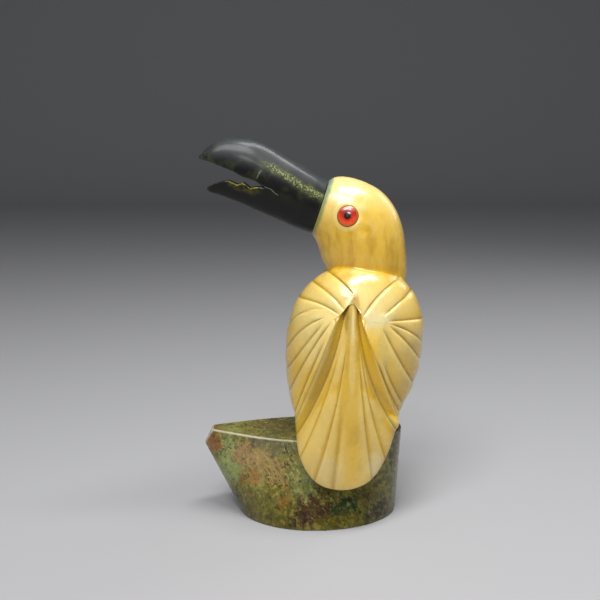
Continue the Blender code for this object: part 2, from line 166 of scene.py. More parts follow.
def raise_sleeve(name, around, layers, rough_layers=1):
    """A closed cylinder with its side in a grid, and the column and layer of each of its points."""
    start_clean()
    bpy.ops.mesh.primitive_cylinder_add(vertices=around, radius=1, depth=1, end_fill_type="NGON")
    piece = bpy.context.object
    piece.name = piece.data.name = name
    if rough_layers > 1:
        subdivide_upright(piece, rough_layers - 1)
    subdivide_upright(piece, layers // rough_layers - 1)
    points = points_of(piece)
    turn = np.arctan2(points[:, 0], points[:, 1]) / (2 * np.pi)
    column = np.round(turn * around).astype(int) % around
    layer = np.round((points[:, 2] + 0.5) * layers).astype(int)
    return piece, column, layer


def finish_modifier(piece, kind, **settings):
    """Add a modifier, set it and apply it."""
    pick(piece)
    modifier = piece.modifiers.new(kind.lower(), kind)
    for key, value in settings.items():
        setattr(modifier, key, value)
    bpy.ops.object.modifier_apply(modifier=modifier.name)


def triangles(piece):
    return sum(len(face.vertices) - 2 for face in piece.data.polygons)


# %% [markdown]
# ## The base stone
# The base is a rough block ground to a rounded foot that widens upwards into a drop shape with an
# overhanging toe. It could be carved out of a box with bevels, but the outline changes from bottom to
# top, so it is lofted. The toe's end and one foot edge are sawn flat with bisect cuts. A voxel remesh
# then gives even faces, and a little smoothing rounds all edges as a polishing wheel does.

# %% Sizes of the base
BASE_HEIGHT = 0.0430
FOOT_LEFT, FOOT_RIGHT, FOOT_FRONT, FOOT_BACK = 0.0388, 0.0410, 0.0345, 0.0300
TOP_RIGHT, TOP_BACK = 0.0436, 0.0190
FOOT_MIDDLE_Y, TOE_MIDDLE_Y = 0.0045, 0.0020
TOE_OVERHANG, TOE_CUT, TOE_CUT_LEAN = 0.0228, 0.0086, math.radians(26)
FOOT_CHAMFER, FOOT_CHAMFER_LEAN = 0.0025, math.radians(-52)
TOP_FRONT = 0.0267
TAIL_TIP_Z = 0.0206
SQUARENESS_FOOT, SQUARENESS_TOE, SQUARENESS_BACK = 1.95, 1.08, 2.5


def base_outline(turn, height):
    """The base's outline at a height: a rounded foot that turns into a drop shape with a toe."""
    share = height / BASE_HEIGHT
    front_share = np.minimum(height / TAIL_TIP_Z, 1.0)
    across, along = np.cos(turn), np.sin(turn)
    rightness = (1 + across) / 2
    toe = SQUARENESS_FOOT + (SQUARENESS_TOE - SQUARENESS_FOOT) * share
    far = SQUARENESS_FOOT + (SQUARENESS_BACK - SQUARENESS_FOOT) * share
    power = 2 / (toe + (far - toe) * rightness)
    right = FOOT_RIGHT + (TOP_RIGHT - FOOT_RIGHT) * share
    reach_x = np.where(across > 0, right, FOOT_LEFT + TOE_OVERHANG * share)
    back = FOOT_BACK + (TOP_BACK - FOOT_BACK) * share
    reach_y = np.where(along > 0, back, FOOT_FRONT + (TOP_FRONT - FOOT_FRONT) * front_share)
    x = reach_x * np.sign(across) * np.abs(across) ** power
    y = reach_y * np.sign(along) * np.abs(along) ** power
    return x, y + TOE_MIDDLE_Y + (FOOT_MIDDLE_Y - TOE_MIDDLE_Y) * rightness


print("base, mm high:", round(BASE_HEIGHT * 1000, 1))

# %% Raise the base, saw its two flats and grind its edges
def saw_off(piece, point, lean):
    """Bisect in edit mode, throw away what is beyond the plane and close the cut."""
    edit_all(piece)
    normal = (math.copysign(math.cos(lean), point[0]), 0.0, math.sin(lean))
    bpy.ops.mesh.bisect(plane_co=point, plane_no=normal, use_fill=True, clear_outer=True)
    leave_edit()


def grind(piece, voxel, passes):
    """Even out the faces and round the edges."""
    finish_modifier(piece, "REMESH", mode="VOXEL", voxel_size=voxel, use_smooth_shade=True)
    finish_modifier(piece, "SMOOTH", factor=0.5, iterations=passes)


BASE_AROUND, BASE_LAYERS = 160, 24
base_stone, column, layer = raise_sleeve("mottled_base", BASE_AROUND, BASE_LAYERS)
height = BASE_HEIGHT * layer / BASE_LAYERS
x, y = base_outline(2 * np.pi * column / BASE_AROUND, height)
move_points(base_stone, np.stack([x, y, height], axis=1))
turn_faces_out(base_stone)
saw_off(base_stone, (-FOOT_LEFT - TOE_OVERHANG + TOE_CUT, 0.0, BASE_HEIGHT), TOE_CUT_LEAN)
saw_off(base_stone, (FOOT_RIGHT - FOOT_CHAMFER, 0.0, 0.0), FOOT_CHAMFER_LEAN)
grind(base_stone, voxel=0.00055, passes=4)
print("base triangles:", triangles(base_stone))

# %% [markdown]
# ## The bird's body
# The body stands upright on the base and turns into the neck and the head, which bends round to the
# left until it meets the bill. The sections stay upright ellipses up to the neck and then turn about
# a point in front of the throat, as the pages of a half-open book do.

# %% Sizes of the body, the neck and the head
SEAT_Z = BASE_HEIGHT + 0.0003
BODY_STATIONS = (
    # height above the seat, middle X, half width, reach to the back (-Y), reach to the breast
    (0.0000, 0.0135, 0.0165, 0.0185, 0.0140),
    (0.0060, 0.0138, 0.0190, 0.0235, 0.0175),
    (0.0167, 0.0145, 0.0236, 0.0280, 0.0210),
    (0.0317, 0.0172, 0.0290, 0.0290, 0.0232),
    (0.0467, 0.0183, 0.0308, 0.0285, 0.0242),
    (0.0567, 0.0195, 0.0300, 0.0270, 0.0242),
    (0.0667, 0.0207, 0.0260, 0.0225, 0.0232),
    (0.0740, 0.0230, 0.0216, 0.0178, 0.0220),
    (0.0807, 0.0248, 0.0203, 0.0152, 0.0212),
)
NECK_Z = SEAT_Z + BODY_STATIONS[-1][0]
BILL_RISE = math.radians(18.3)
FACET_TOP, FACET_BOTTOM, FACET_HALF_WIDTH = 0.0131, 0.0143, 0.0115
FACET = Vector((0.00195, 0.0030, SEAT_Z + 0.11245))
BILL_ALONG = Vector((-math.cos(BILL_RISE), 0.0, math.sin(BILL_RISE)))
BILL_UP = Vector((math.sin(BILL_RISE), 0.0, math.cos(BILL_RISE)))
HEAD_STATIONS = (
    # share of the turn, then throat, nape and half thickness beyond an even change
    (0.15, -0.0012, 0.0013, 0.0014),
    (0.32, -0.0027, 0.0040, 0.0026),
    (0.46, -0.0032, 0.0060, 0.0032),
    (0.60, -0.0030, 0.0068, 0.0032),
    (0.75, -0.0023, 0.0057, 0.0026),
    (0.90, -0.0011, 0.0038, 0.0012),
    (0.97, -0.0004, 0.0019, 0.0004),
)
TO_FACET = (FACET.z - NECK_Z) / BILL_UP.z
PIVOT = FACET - BILL_UP * TO_FACET


def head_sections(shares):
    """Middle, outward direction, reach and half thickness of the sections round the bend."""
    _, neck_x, neck_half, neck_back, neck_breast = BODY_STATIONS[-1]
    neck_reach = neck_x - PIVOT.x
    neck = np.array((neck_reach - neck_half, neck_reach + neck_half, (neck_back + neck_breast) / 2))
    facet = np.array((TO_FACET - FACET_BOTTOM, TO_FACET + FACET_TOP, FACET_HALF_WIDTH))
    rows = [(0.0, *neck)]
    rows += [(row[0], *(neck + (facet - neck) * row[0] + np.array(row[1:]))) for row in HEAD_STATIONS]
    rows.append((1.0, *facet))
    throat, nape, half_width = smooth_between(rows, shares)
    turn = np.atleast_1d(shares) * (math.pi / 2 - BILL_RISE)
    outward = np.stack([np.cos(turn), np.zeros_like(turn), np.sin(turn)], axis=1)
    middle = np.array(PIVOT) + outward * ((throat + nape) / 2)[:, None]
    return middle, outward, (nape - throat) / 2, half_width


print("pivot of the bend:", tuple(round(value, 4) for value in PIVOT))

# %% Raise the body as one sleeve from the seat to the facet
BODY_AROUND, BODY_LAYERS, HEAD_LAYERS = 160, 60, 90
layer_count = BODY_LAYERS + HEAD_LAYERS
body, column, layer = raise_sleeve("carved_bird", BODY_AROUND, layer_count, rough_layers=3)
rise = BODY_STATIONS[-1][0] * np.minimum(np.arange(layer_count + 1) / BODY_LAYERS, 1.0)
middle_x, half_x, back, breast = smooth_between(BODY_STATIONS, rise)
middle = np.stack([middle_x, (breast - back) / 2, SEAT_Z + rise], axis=1)
outward = np.tile((1.0, 0.0, 0.0), (layer_count + 1, 1))
half_y = (back + breast) / 2
head = head_sections(np.arange(HEAD_LAYERS + 1) / HEAD_LAYERS)
middle[BODY_LAYERS:], outward[BODY_LAYERS:], half_x[BODY_LAYERS:], half_y[BODY_LAYERS:] = head
turn = 2 * np.pi * column / BODY_AROUND
points = middle[layer] + outward[layer] * (half_x[layer] * np.cos(turn))[:, None]
points[:, 1] += half_y[layer] * np.sin(turn)
move_points(body, points)
turn_faces_out(body)
print("body from", points.min(axis=0).round(4), "to", points.max(axis=0).round(4))

# %% [markdown]
# ## The carved wings and tail
# The wings and the tail are one raised shield on the bird's back. On the real carving each feather
# is one cut of the wheel: it is deepest along a line, stands up steeply on the side of the next
# feather, and falls gently across that feather to its next line. The shield is a second sleeve, with
# its columns along the feathers' lines, so that each line and crest has its own row of points. A
# displacement texture could draw the lines too, but it can't bend them from a root to a tip.

# %% Outline and lines of the shield
SHIELD_MIDDLE = np.array((0.0160, SEAT_Z + 0.0317))
SHIELD_CROWN_Y = -0.0345
RIM_STATIONS = (
    # direction in degrees, reach, depth of the rim
    (-45, 0.0335, -0.0250), (-40, 0.0312, -0.0200), (-31, 0.0314, -0.0120), (-16, 0.0330, -0.0050),
    (4, 0.0358, -0.0020), (20, 0.0394, -0.0015), (34, 0.0448, -0.0020), (43, 0.0478, -0.0030),
    (52, 0.0507, -0.0045), (60, 0.0523, -0.0075), (72, 0.0530, -0.0095), (88, 0.0530, -0.0095),
    (104, 0.0508, -0.0080), (124, 0.0445, -0.0040), (143, 0.0375, -0.0015), (163, 0.0330, -0.0010),
    (183, 0.0313, -0.0020), (203, 0.0322, -0.0070), (217, 0.0340, -0.0170), (227, 0.0385, -0.0240),
    (238, 0.0460, -0.0285), (252, 0.0533, -0.0305), (266, 0.0545, -0.0310), (280, 0.0511, -0.0305),
    (294, 0.0425, -0.0285), (307, 0.0355, -0.0262),
)
GROOVE, TAIL_CUT, VALLEY = 0.0011, 0.0012, 0.0038
INNER_RIDGE, TAIL_STEP, NOTCH = 0.0012, -0.0004, 0.0004
CUTS = (
    # direction of the tip, root beside and above the shield's middle, height, start, bow
    (63, 0.0058, 0.0310, -GROOVE, -0.08, -0.075),
    (102, 0.0014, 0.0406, -GROOVE, -0.08, 0.045),
    (112, -0.0037, 0.0338, -GROOVE, -0.08, 0.070),
    (124, -0.0059, 0.0312, -GROOVE, -0.08, 0.090),
    (143, -0.0096, 0.0306, -GROOVE, 0.35, 0.240),
    (163, -0.0122, 0.0300, -GROOVE, -0.02, 0.110),
    (180, -0.0122, 0.0280, -GROOVE, 0.00, 0.030),
    (200, -0.0098, 0.0272, -GROOVE, -0.08, 0.040),
    (216, -0.0086, 0.0272, -GROOVE, 0.12, 0.020),
    (220, -0.0072, 0.0280, INNER_RIDGE, -0.25, 0.000),
    (228, -0.0026, 0.0336, -VALLEY, -0.25, -0.050),
    (238, -0.0010, 0.0362, -TAIL_CUT, 0.25, -0.035),
    (251, -0.0001, 0.0379, -TAIL_CUT, 0.14, -0.030),
    (261, 0.0006, 0.0389, -TAIL_CUT, 0.50, -0.005),
    (282, 0.0016, 0.0389, -TAIL_CUT, 0.25, 0.010),
    (293, 0.0023, 0.0374, -TAIL_CUT, 0.22, 0.035),
    (311, 0.0032, 0.0354, -VALLEY, -0.25, 0.075),
    (319, 0.0058, 0.0256, INNER_RIDGE, -0.25, 0.000),
    (322.5, 0.0074, 0.0249, -GROOVE, 0.26, 0.030),
    (329, 0.0100, 0.0245, -GROOVE, 0.34, 0.035),
    (348, 0.0152, 0.0240, -GROOVE, -0.08, 0.010),
    (367, 0.0188, 0.0250, -GROOVE, -0.08, -0.045),
    (381, 0.0195, 0.0262, -GROOVE, -0.08, -0.070),
    (395.5, 0.0184, 0.0278, -GROOVE, -0.08, -0.025),
    (413, 0.0160, 0.0310, -GROOVE, -0.08, -0.020),
    (423, 0.0058, 0.0310, -GROOVE, -0.08, -0.075),
)
CAPE_END, TAIL_START, TAIL_MIDDLE, TAIL_END = 102, 228, 261, 311


def rim_at(bearing):
    """Reach and depth of the shield's rim in each direction, in degrees."""
    first = RIM_STATIONS[0][0]
    before = (RIM_STATIONS[-1][0] - 360,) + RIM_STATIONS[-1][1:]
    after = tuple((row[0] + 360,) + row[1:] for row in RIM_STATIONS[:2])
    return smooth_between((before,) + RIM_STATIONS + after, (bearing - first) % 360 + first)


print("cuts round the shield:", len(CUTS) - 1)

# %% Height across one feather, with a steep side and a gentle one
TAIL_PEAK, TAIL_FALL, WING_PEAK, WING_FALL = 0.15, 2.6, 0.17, 2.0
CAPE_FLATNESS, MIDDLE_FLATNESS = 10, 6


def steep_and_gentle(share, peak, fall):
    """0 at both lines, a quick rise to 1 at the peak, and a slow fall to the next line."""
    rising = np.sin(np.pi / 2 * np.minimum(share / peak, 1.0))
    beyond = np.maximum((share - peak) / (1 - peak), 0.0)
    return rising * (1 - beyond**fall)


def flat_topped(share, flatness):
    return 1 - np.abs(2 * share - 1) ** flatness


def feather_height(here, following, share):
    """Height above the dome, height of the crest, and notch at the tip, across one feather."""
    (first, *_, low, _, _), (last, *_, high, _, _) = here, following
    across = 1 - share if first >= TAIL_MIDDLE else share
    if first >= TAIL_START and last <= TAIL_END:
        beside_valley = ((low == -VALLEY) & (share < 0.5)) | ((high == -VALLEY) & (share > 0.5))
        level = np.where(beside_valley, TAIL_STEP, -TAIL_CUT)
        arch = steep_and_gentle(across, TAIL_PEAK, TAIL_FALL)
        if first == TAIL_MIDDLE:
            arch = flat_topped(share, MIDDLE_FLATNESS)
        return level + (TAIL_STEP - level) * arch, TAIL_STEP, np.zeros_like(share)
    crest = max(low, high, 0.0) * 0.5
    if -VALLEY in (low, high):
        down = 1 - share if low == -VALLEY else share
        soft = 0.6 * down + 0.4 * (3 * down**2 - 2 * down**3)
        return INNER_RIDGE - (VALLEY + INNER_RIDGE) * soft, crest, np.zeros_like(share)
    level = low + (high - low) * share
    arch = steep_and_gentle(across, WING_PEAK, WING_FALL)
    if first < CAPE_END:
        arch = flat_topped(share, CAPE_FLATNESS)
    return level + (crest - level) * arch, crest, NOTCH * (1 - arch)


quarters = steep_and_gentle(np.arange(5) / 4, WING_PEAK, WING_FALL)
print("rise and fall of a wing feather by quarters:", quarters.round(2))

# %% Columns of the shield, closer together beside each line
LEAST_COLUMNS, COLUMNS_PER_DEGREE, GATHER = 11, 0.9, 0.115
FIELDS = ("bearing", "root_x", "root_z", "start", "bow", "height", "notch", "share", "number",
          "crest", "tail", "side", "slope")


def feather_columns(here, following, number):
    count = max(LEAST_COLUMNS, round((following[0] - here[0]) * COLUMNS_PER_DEGREE))
    even = np.arange(count) / count
    share = even - GATHER * np.sin(2 * np.pi * even)
    bearing, root_x, root_z, _, start, bow = (a + (b - a) * share for a, b in zip(here, following))
    height, crest, notch = feather_height(here, following, share)
    tail = float(here[0] >= TAIL_START and following[0] <= TAIL_END)
    side = -1.0 if here[0] >= TAIL_MIDDLE else 1.0
    slope = float(-VALLEY in (here[3], following[3])) * (1 - tail) * side
    flags = [np.full(count, float(value)) for value in (number, crest, tail, side, slope)]
    return np.stack([bearing, root_x, root_z, start, bow, height, notch, share, *flags])


pairs = enumerate(zip(CUTS, CUTS[1:]))
rows = np.concatenate([feather_columns(here, following, k) for k, (here, following) in pairs], axis=1)
COLUMNS = dict(zip(FIELDS, rows))
print("columns:", rows.shape[1])

# %% Points of the carved front, from the roots to the tips
LINE_RAMP, RIM_FADE, RIM_FADE_POWER, NOTCH_POWER = 0.25, 0.4, 8, 4
TAIL_ROOT_DEPTH, TAIL_ENTRY, TAIL_RISEN = 0.0022, 0.16, 0.65
RIDGE_HEIGHT, RIDGE_HALF_WIDTH, ROOT_FLANK, TIP_FLANK = 0.0019, 0.0012, 1.6, 2.2


def dome_y(rim_y, crown_y, across):
    """Depth of the dome at a share of the way from its middle to its rim."""
    return rim_y + (crown_y - rim_y) * np.sqrt(1 - across**2)


def tail_height(share, offset, bearing, raised):
    """Height across the tail: it is sunk at its root, with a narrow ridge in its middle."""
    across_tail = (2 * bearing - TAIL_START - TAIL_END) / (TAIL_END - TAIL_START)
    risen = ease(min(share / TAIL_RISEN, 1.0))
    in_tail = np.flatnonzero(COLUMNS["tail"])
    half_width = np.hypot(*(offset[:, in_tail[-1]] - offset[:, in_tail[0]])) / 2
    middle_ridge = RIDGE_HEIGHT * bell(across_tail * half_width, RIDGE_HALF_WIDTH)
    entry = ease(min(share / TAIL_ENTRY, 1.0))
    entry = entry + (1 - entry) * across_tail**4
    flank = np.abs(across_tail) ** (ROOT_FLANK + TIP_FLANK * risen) * entry
    sunk = raised + (middle_ridge - TAIL_ROOT_DEPTH) * (1 - risen) * entry
    return sunk * (1 - flank) - VALLEY * flank


def shield_front(share):
    """Front points of all columns at one share of the way from their roots to their tips."""
    bearing, root_x, root_z, start, bow, height, notch, _, _, crest, tail, _, slope = COLUMNS.values()
    reach, _ = rim_at(bearing)
    direction = np.stack([np.cos(np.radians(bearing)), np.sin(np.radians(bearing))])
    root = np.stack([root_x, root_z])
    tip = direction * (reach - notch)
    side = np.stack([tip[1] - root[1], root[0] - tip[0]])
    offset = root + (tip - root) * share + side * (bow * 4 * share * (1 - share))
    reach_here, rim_y = rim_at(np.degrees(np.arctan2(offset[1], offset[0])))
    across = np.minimum(np.hypot(*offset) / (reach_here - notch * share**NOTCH_POWER), 1.0)
    start = np.where(slope != 0, -LINE_RAMP, start)
    opened = ease(np.clip((share - start) / LINE_RAMP, 0.0, 1.0))
    raised = crest + (height - crest) * opened
    raised = np.where(tail > 0, tail_height(share, offset, bearing, raised), raised)
    raised = raised * (1 - RIM_FADE * share**RIM_FADE_POWER)
    place = SHIELD_MIDDLE[:, None] + offset
    return np.stack([place[0], dome_y(rim_y, SHIELD_CROWN_Y, across) - raised, place[1]], axis=1), opened


# %% The hub, where the feathers' roots meet
HUB_LINE = np.array((
    (-11.6, 29.0), (-8.2, 29.1), (-5.0, 31.8), (-3.1, 33.8), (-0.9, 37.0), (0.4, 39.0), (1.1, 39.8),
    (1.9, 39.0), (2.8, 37.0), (3.6, 35.0), (5.1, 31.0), (6.8, 28.3), (17.5, 27.2))) / 1000


def nearest_on_hub(roots):
    """The nearest point of the hub's middle line for each root."""
    best, least = roots.copy(), np.full(len(roots), np.inf)
    for start, end in zip(HUB_LINE, HUB_LINE[1:]):
        run = end - start
        t = np.clip(((roots - start) @ run) / (run @ run), 0.0, 1.0)
        point = start + t[:, None] * run
        distance = np.hypot(*(roots - point).T)
        closer = distance < least
        best[closer], least[closer] = point[closer], distance[closer]
    return best


print("hub line:", len(HUB_LINE), "points")


# %% Points on the plain dome and on the inner side
TAIL_THICKNESS, SHIELD_ROOT_DEPTH, TAIL_FREE, TAIL_JOINED = 0.0070, 0.0220, 0.0047, 0.0187


def on_dome(offset, lift):
    reach, rim_y = rim_at(np.degrees(np.arctan2(offset[:, 1], offset[:, 0])))
    across = np.minimum(np.hypot(*offset.T) / reach, 1.0)
    place = SHIELD_MIDDLE + offset
    return np.stack([place[:, 0], dome_y(rim_y, SHIELD_CROWN_Y, across) - lift, place[:, 1]], axis=1)


def shield_back(inset, lip, across):
    """Inner side: under the rim, then in to the middle. Low down the tail is a free plate."""
    bearing = COLUMNS["bearing"]
    reach, rim_y = rim_at(bearing)
    distance = (reach - inset) * across
    x = SHIELD_MIDDLE[0] + np.cos(np.radians(bearing)) * distance
    z = SHIELD_MIDDLE[1] + np.sin(np.radians(bearing)) * distance
    joined = np.clip((z - SEAT_Z - TAIL_FREE) / (TAIL_JOINED - TAIL_FREE), 0.0, 1.0)
    depth = TAIL_THICKNESS + (SHIELD_ROOT_DEPTH - TAIL_THICKNESS) * joined
    return np.stack([x, dome_y(rim_y + lip, SHIELD_CROWN_Y + depth, across), z], axis=1)


# %% Raise the shield from its hub over the front and round the rim to its back
HUB_SHARES = (0.985, 0.9, 0.7, 0.45, 0.2)
FRONT_LAYERS = 90
RIM_ROUND = ((0.0, 0.0005), (0.0, 0.0010), (0.00012, 0.0013), (0.0005, 0.0015), (0.0015, 0.0018))
BACK_INSET, BACK_LIP, BACK_SHARES = 0.0062, 0.0025, (1.0, 0.96, 0.88, 0.76, 0.6, 0.4, 0.2, 0.03)
rings, opened_rings = [], []
front, opened = shield_front(0.0)
roots = front[:, (0, 2)] - SHIELD_MIDDLE
lift = on_dome(roots, 0.0)[:, 1] - front[:, 1]
for share in HUB_SHARES:
    hub = roots + (nearest_on_hub(roots) - roots) * share
    rings.append(on_dome(hub, lift * (1 - share) ** 2))
    opened_rings.append(opened * (1 - share) ** 2)
for step in range(FRONT_LAYERS + 1):
    points, opened = shield_front(math.sin(math.pi / 2 * step / FRONT_LAYERS))
    rings.append(points)
    opened_rings.append(opened)
rim = rings[-1]
inward = rim - np.array((SHIELD_MIDDLE[0], 0.0, SHIELD_MIDDLE[1]))
inward[:, 1] = 0.0
inward /= -np.linalg.norm(inward, axis=1)[:, None]
rings += [rim + inward * inset + np.array((0.0, lip, 0.0)) for inset, lip in RIM_ROUND]
rings += [shield_back(BACK_INSET, BACK_LIP, across) for across in BACK_SHARES]
opened_rings += [opened * 0.0] * (len(rings) - len(opened_rings))
print("shield layers:", len(rings) - 1)

shield, column, layer = raise_sleeve("wings_and_tail", len(COLUMNS["bearing"]), len(rings) - 1)
grid = np.stack(rings)
move_points(shield, grid[layer, column])
turn_faces_out(shield)

# %% [markdown]
# ## Where painted shade and painted highlights go
# Each cut is darkened, mostly as painted shade and a little as the polishing wax and dust that stay in
# a cut, and the crest beside it is lightened, mostly as a painted highlight and a little as polish that
# rubbed it bright. The material reads this from attributes that are written here for each point of the
# shield: how near the point is to a line on the gentle side, how near to a crest, and whether it is on
# the tail or an inner slope, whose sides get painted shade and painted light.

# %% Line, crest, tail and slope for each point of the shield
# Widths of the darkened band on the gentle and the steep side of each line: painted shade in the groove,
# with a little dirt.
GENTLE_SHADE_AND_DIRT, STEEP_SHADE_AND_DIRT = 0.00095, 0.00045
CREST_PLACE, CREST_WIDTH, WIDE_FEATHER = 0.0011, 0.00055, 0.006
number = COLUMNS["number"].astype(int)
first_column = np.array([np.argmax(number == k) for k in range(number.max() + 1)])
ends = grid[:, first_column]
width = np.linalg.norm(np.roll(ends, -1, axis=1) - ends, axis=2)[:, number]
share = COLUMNS["share"][None, :]
from_steep = np.where(COLUMNS["side"][None, :] > 0, share, 1 - share) * width
opened = np.stack(opened_rings)
line_value = np.maximum(bell(width - from_steep, GENTLE_SHADE_AND_DIRT), bell(from_steep, STEEP_SHADE_AND_DIRT))
crest_value = bell(from_steep - CREST_PLACE, CREST_WIDTH) * np.clip(width / WIDE_FEATHER, 0.0, 1.0)
shield_values = {
    "line": (line_value * opened)[layer, column],
    "crest": (crest_value * opened)[layer, column],
    "tail": COLUMNS["tail"][column],
    "slope": COLUMNS["slope"][column],
}
print("line and crest values made for", len(layer), "points")

# %% Join the shield to the body and cut the eye sockets
EYE_DIAMETER, EYE_DOME, EYE_DEPTH, EYE_GAP = 0.0099, 0.0011, 0.0030, 0.0003
EYE_PLACE, EYE_BEARING = 0.70, 4.0
CUTTER_RISE = 0.0034


def cut_or_join(piece, tool, operation):
    """Boolean with a tool that is then thrown away."""
    finish_modifier(piece, "BOOLEAN", operation=operation, solver="EXACT", object=tool)
    bpy.data.objects.remove(tool, do_unlink=True)


def head_surface(turn_share, bearing, side):
    middle, outward, reach, half_width = head_sections(turn_share)
    turn = math.radians(bearing)
    point = middle[0] + outward[0] * (reach[0] * math.sin(turn))
    return Vector(point + np.array((0.0, side * half_width[0] * math.cos(turn), 0.0)))


def eye_seat(side):
    """Place of an eye on the head and the direction in which it looks."""
    place = head_surface(EYE_PLACE, EYE_BEARING, side)
    before, after = (head_surface(EYE_PLACE + step, EYE_BEARING, side) for step in (-0.01, 0.01))
    lower, upper = (head_surface(EYE_PLACE, EYE_BEARING + step, side) for step in (-1, 1))
    look = (after - before).cross(upper - lower).normalized()
    return place, look if look.y * side > 0 else -look


def apply_place(piece):
    pick(piece)
    bpy.ops.object.transform_apply(location=True, rotation=True, scale=True)


shield_points = points_of(shield)
cut_or_join(body, shield, "UNION")
for side in (-1, 1):
    place, look = eye_seat(side)
    start_clean()
    bpy.ops.mesh.primitive_cylinder_add(
        vertices=72, radius=EYE_DIAMETER / 2 + EYE_GAP, depth=2 * (CUTTER_RISE + EYE_DEPTH + EYE_GAP),
        location=place + look * CUTTER_RISE, rotation=look.to_track_quat("Z", "Y").to_euler())
    socket = bpy.context.object
    apply_place(socket)
    cut_or_join(body, socket, "DIFFERENCE")
print("bird triangles:", triangles(body))

# %% [markdown]
# ## Softening the bird point by point
# Where the neck meets the cape the carver's wheel left a hollow, not a crease, so the points near
# that joint are smoothed. A few shallow dents remain on the polished head, and a low ring stands
# round the visible eye. Both are done as a sculptor would, by moving points, because no modifier
# knows where these marks are.

# %% Soften the joint of the neck and the cape, and the apex of the hub
def lookup(points):
    """A search tree that finds the nearest of these points."""
    search = kdtree.KDTree(len(points))
    for k, point in enumerate(points):
        search.insert(point, k)
    search.balance()
    return search


HUB_APEX = (0.0174, 0.1130)
CAPE_Z, CAPE_REACH, SEAM_REACH, SOFT_RISE, JOINT_PASSES = 0.102, 0.0050, 0.0016, 0.7, 36
APEX_REACH, APEX_FRONT, APEX_STRENGTH = 0.0065, -0.026, 2.2
TOUCHING, WEIGHED = 2e-6, 0.01

shield_tree = lookup(shield_points)
points = points_of(body)
nearest = [shield_tree.find(point) for point in points]
shield_index = np.array([hit[1] for hit in nearest])
shield_distance = np.array([hit[2] for hit in nearest])
ends_on_shield = (shield_distance < TOUCHING)[edges_of(body)]
mixed = ends_on_shield[:, 0] != ends_on_shield[:, 1]
seam_tree = lookup(points[np.unique(edges_of(body)[mixed])])
seam_distance = np.array([seam_tree.find(point)[2] for point in points])
reach = np.where(points[:, 2] > CAPE_Z, CAPE_REACH, SEAM_REACH)
softness = np.clip(1 - seam_distance / reach, 0.0, 1.0) ** SOFT_RISE
from_apex = np.hypot(points[:, 0] - HUB_APEX[0], points[:, 2] - HUB_APEX[1])
at_apex = np.clip(1 - from_apex / APEX_REACH, 0.0, 1.0) * (points[:, 1] < APEX_FRONT)
softness = np.maximum(softness, np.minimum(at_apex * APEX_STRENGTH, 1.0))
group = body.vertex_groups.new(name="joint")
for k in np.nonzero(softness > WEIGHED)[0]:
    group.add([int(k)], float(softness[k]), "REPLACE")
finish_modifier(body, "SMOOTH", factor=0.5, iterations=JOINT_PASSES, vertex_group="joint")
body.vertex_groups.clear()
print("softened points:", int((softness > WEIGHED).sum()))

# %% Press the dents and raise the soft ring round the visible eye
DENTS = (
    # X and Z on the visible side, radius, depth
    (0.0020, 0.1419, 0.0030, 0.00060),
    (0.0036, 0.1466, 0.0020, 0.00030),
    (0.0235, 0.1447, 0.0021, 0.00045),
    (0.0219, 0.1557, 0.0024, -0.00030),
    (0.0185, 0.1609, 0.0030, -0.00030),
    (0.0215, 0.1520, 0.0019, 0.00022),
)
LID_HEIGHT, LID_RADIUS, LID_WIDTH, CHEEK_Z = 0.00022, 0.0064, 0.0009, 0.13
points, normals = points_of(body), normals_of(body)
for x, z, radius, depth in DENTS:
    press = depth * bell(np.hypot(points[:, 0] - x, points[:, 2] - z), radius) * (points[:, 1] < 0)
    points -= normals * press[:, None]
place, look = eye_seat(-1)
ring = np.linalg.norm(np.cross(points - np.array(place), np.array(look)), axis=1)
lid = LID_HEIGHT * bell(ring - LID_RADIUS, LID_WIDTH) * (points[:, 1] < 0) * (points[:, 2] > CHEEK_Z)
points += normals * lid[:, None]
move_points(body, points)
print("left eye at", tuple(round(v, 4) for v in place), "looks", tuple(round(v, 3) for v in look))

# %% Write the attributes that the stone's material reads
def write_values(piece, name, values):
    attribute = piece.data.attributes.new(name, "FLOAT", "POINT")
    attribute.data.foreach_set("value", np.ascontiguousarray(values, dtype=np.float32))


def hollowness(piece, passes, depth):
    """Above 0 in a hollow and below 0 on an edge: how far smoothing would lift each point."""
    points = points_of(piece)
    a, b = edges_of(piece).T
    count = np.bincount(a, minlength=len(points)) + np.bincount(b, minlength=len(points))
    smooth = points.copy()
    for _ in range(passes):
        total = [np.bincount(a, smooth[b, axis], len(points))
                 + np.bincount(b, smooth[a, axis], len(points)) for axis in range(3)]
        smooth = 0.5 * smooth + 0.5 * np.stack(total, axis=1) / np.maximum(count, 1)[:, None]
    return np.clip(((smooth - points) * normals_of(piece)).sum(axis=1) / depth, -1.0, 1.0)


def shade_smooth(piece):
    pick(piece)
    bpy.ops.object.shade_smooth_by_angle(angle=math.radians(50))


SHIELD_FADE = 0.0010
near = np.clip(1 - shield_distance / SHIELD_FADE, 0.0, 1.0)
for name, values in shield_values.items():
    write_values(body, name, values[shield_index] * near)
write_values(body, "hollow", hollowness(body, passes=30, depth=0.00025))
write_values(base_stone, "hollow", hollowness(base_stone, passes=8, depth=0.00020))
shade_smooth(body)
print("attributes:", [item.name for item in body.data.attributes if item.domain == "POINT"])

# %% [markdown]
# ## The bill
# The bill is black stone glued to a slanted facet of the head. Its outside is a loft whose sections
# shrink towards the tip. The open mouth is sawn out with a prism across the bill, whose lower edge is
# chipped as on the real one. It is then remeshed and smoothed, so that the sawn edges become polished.

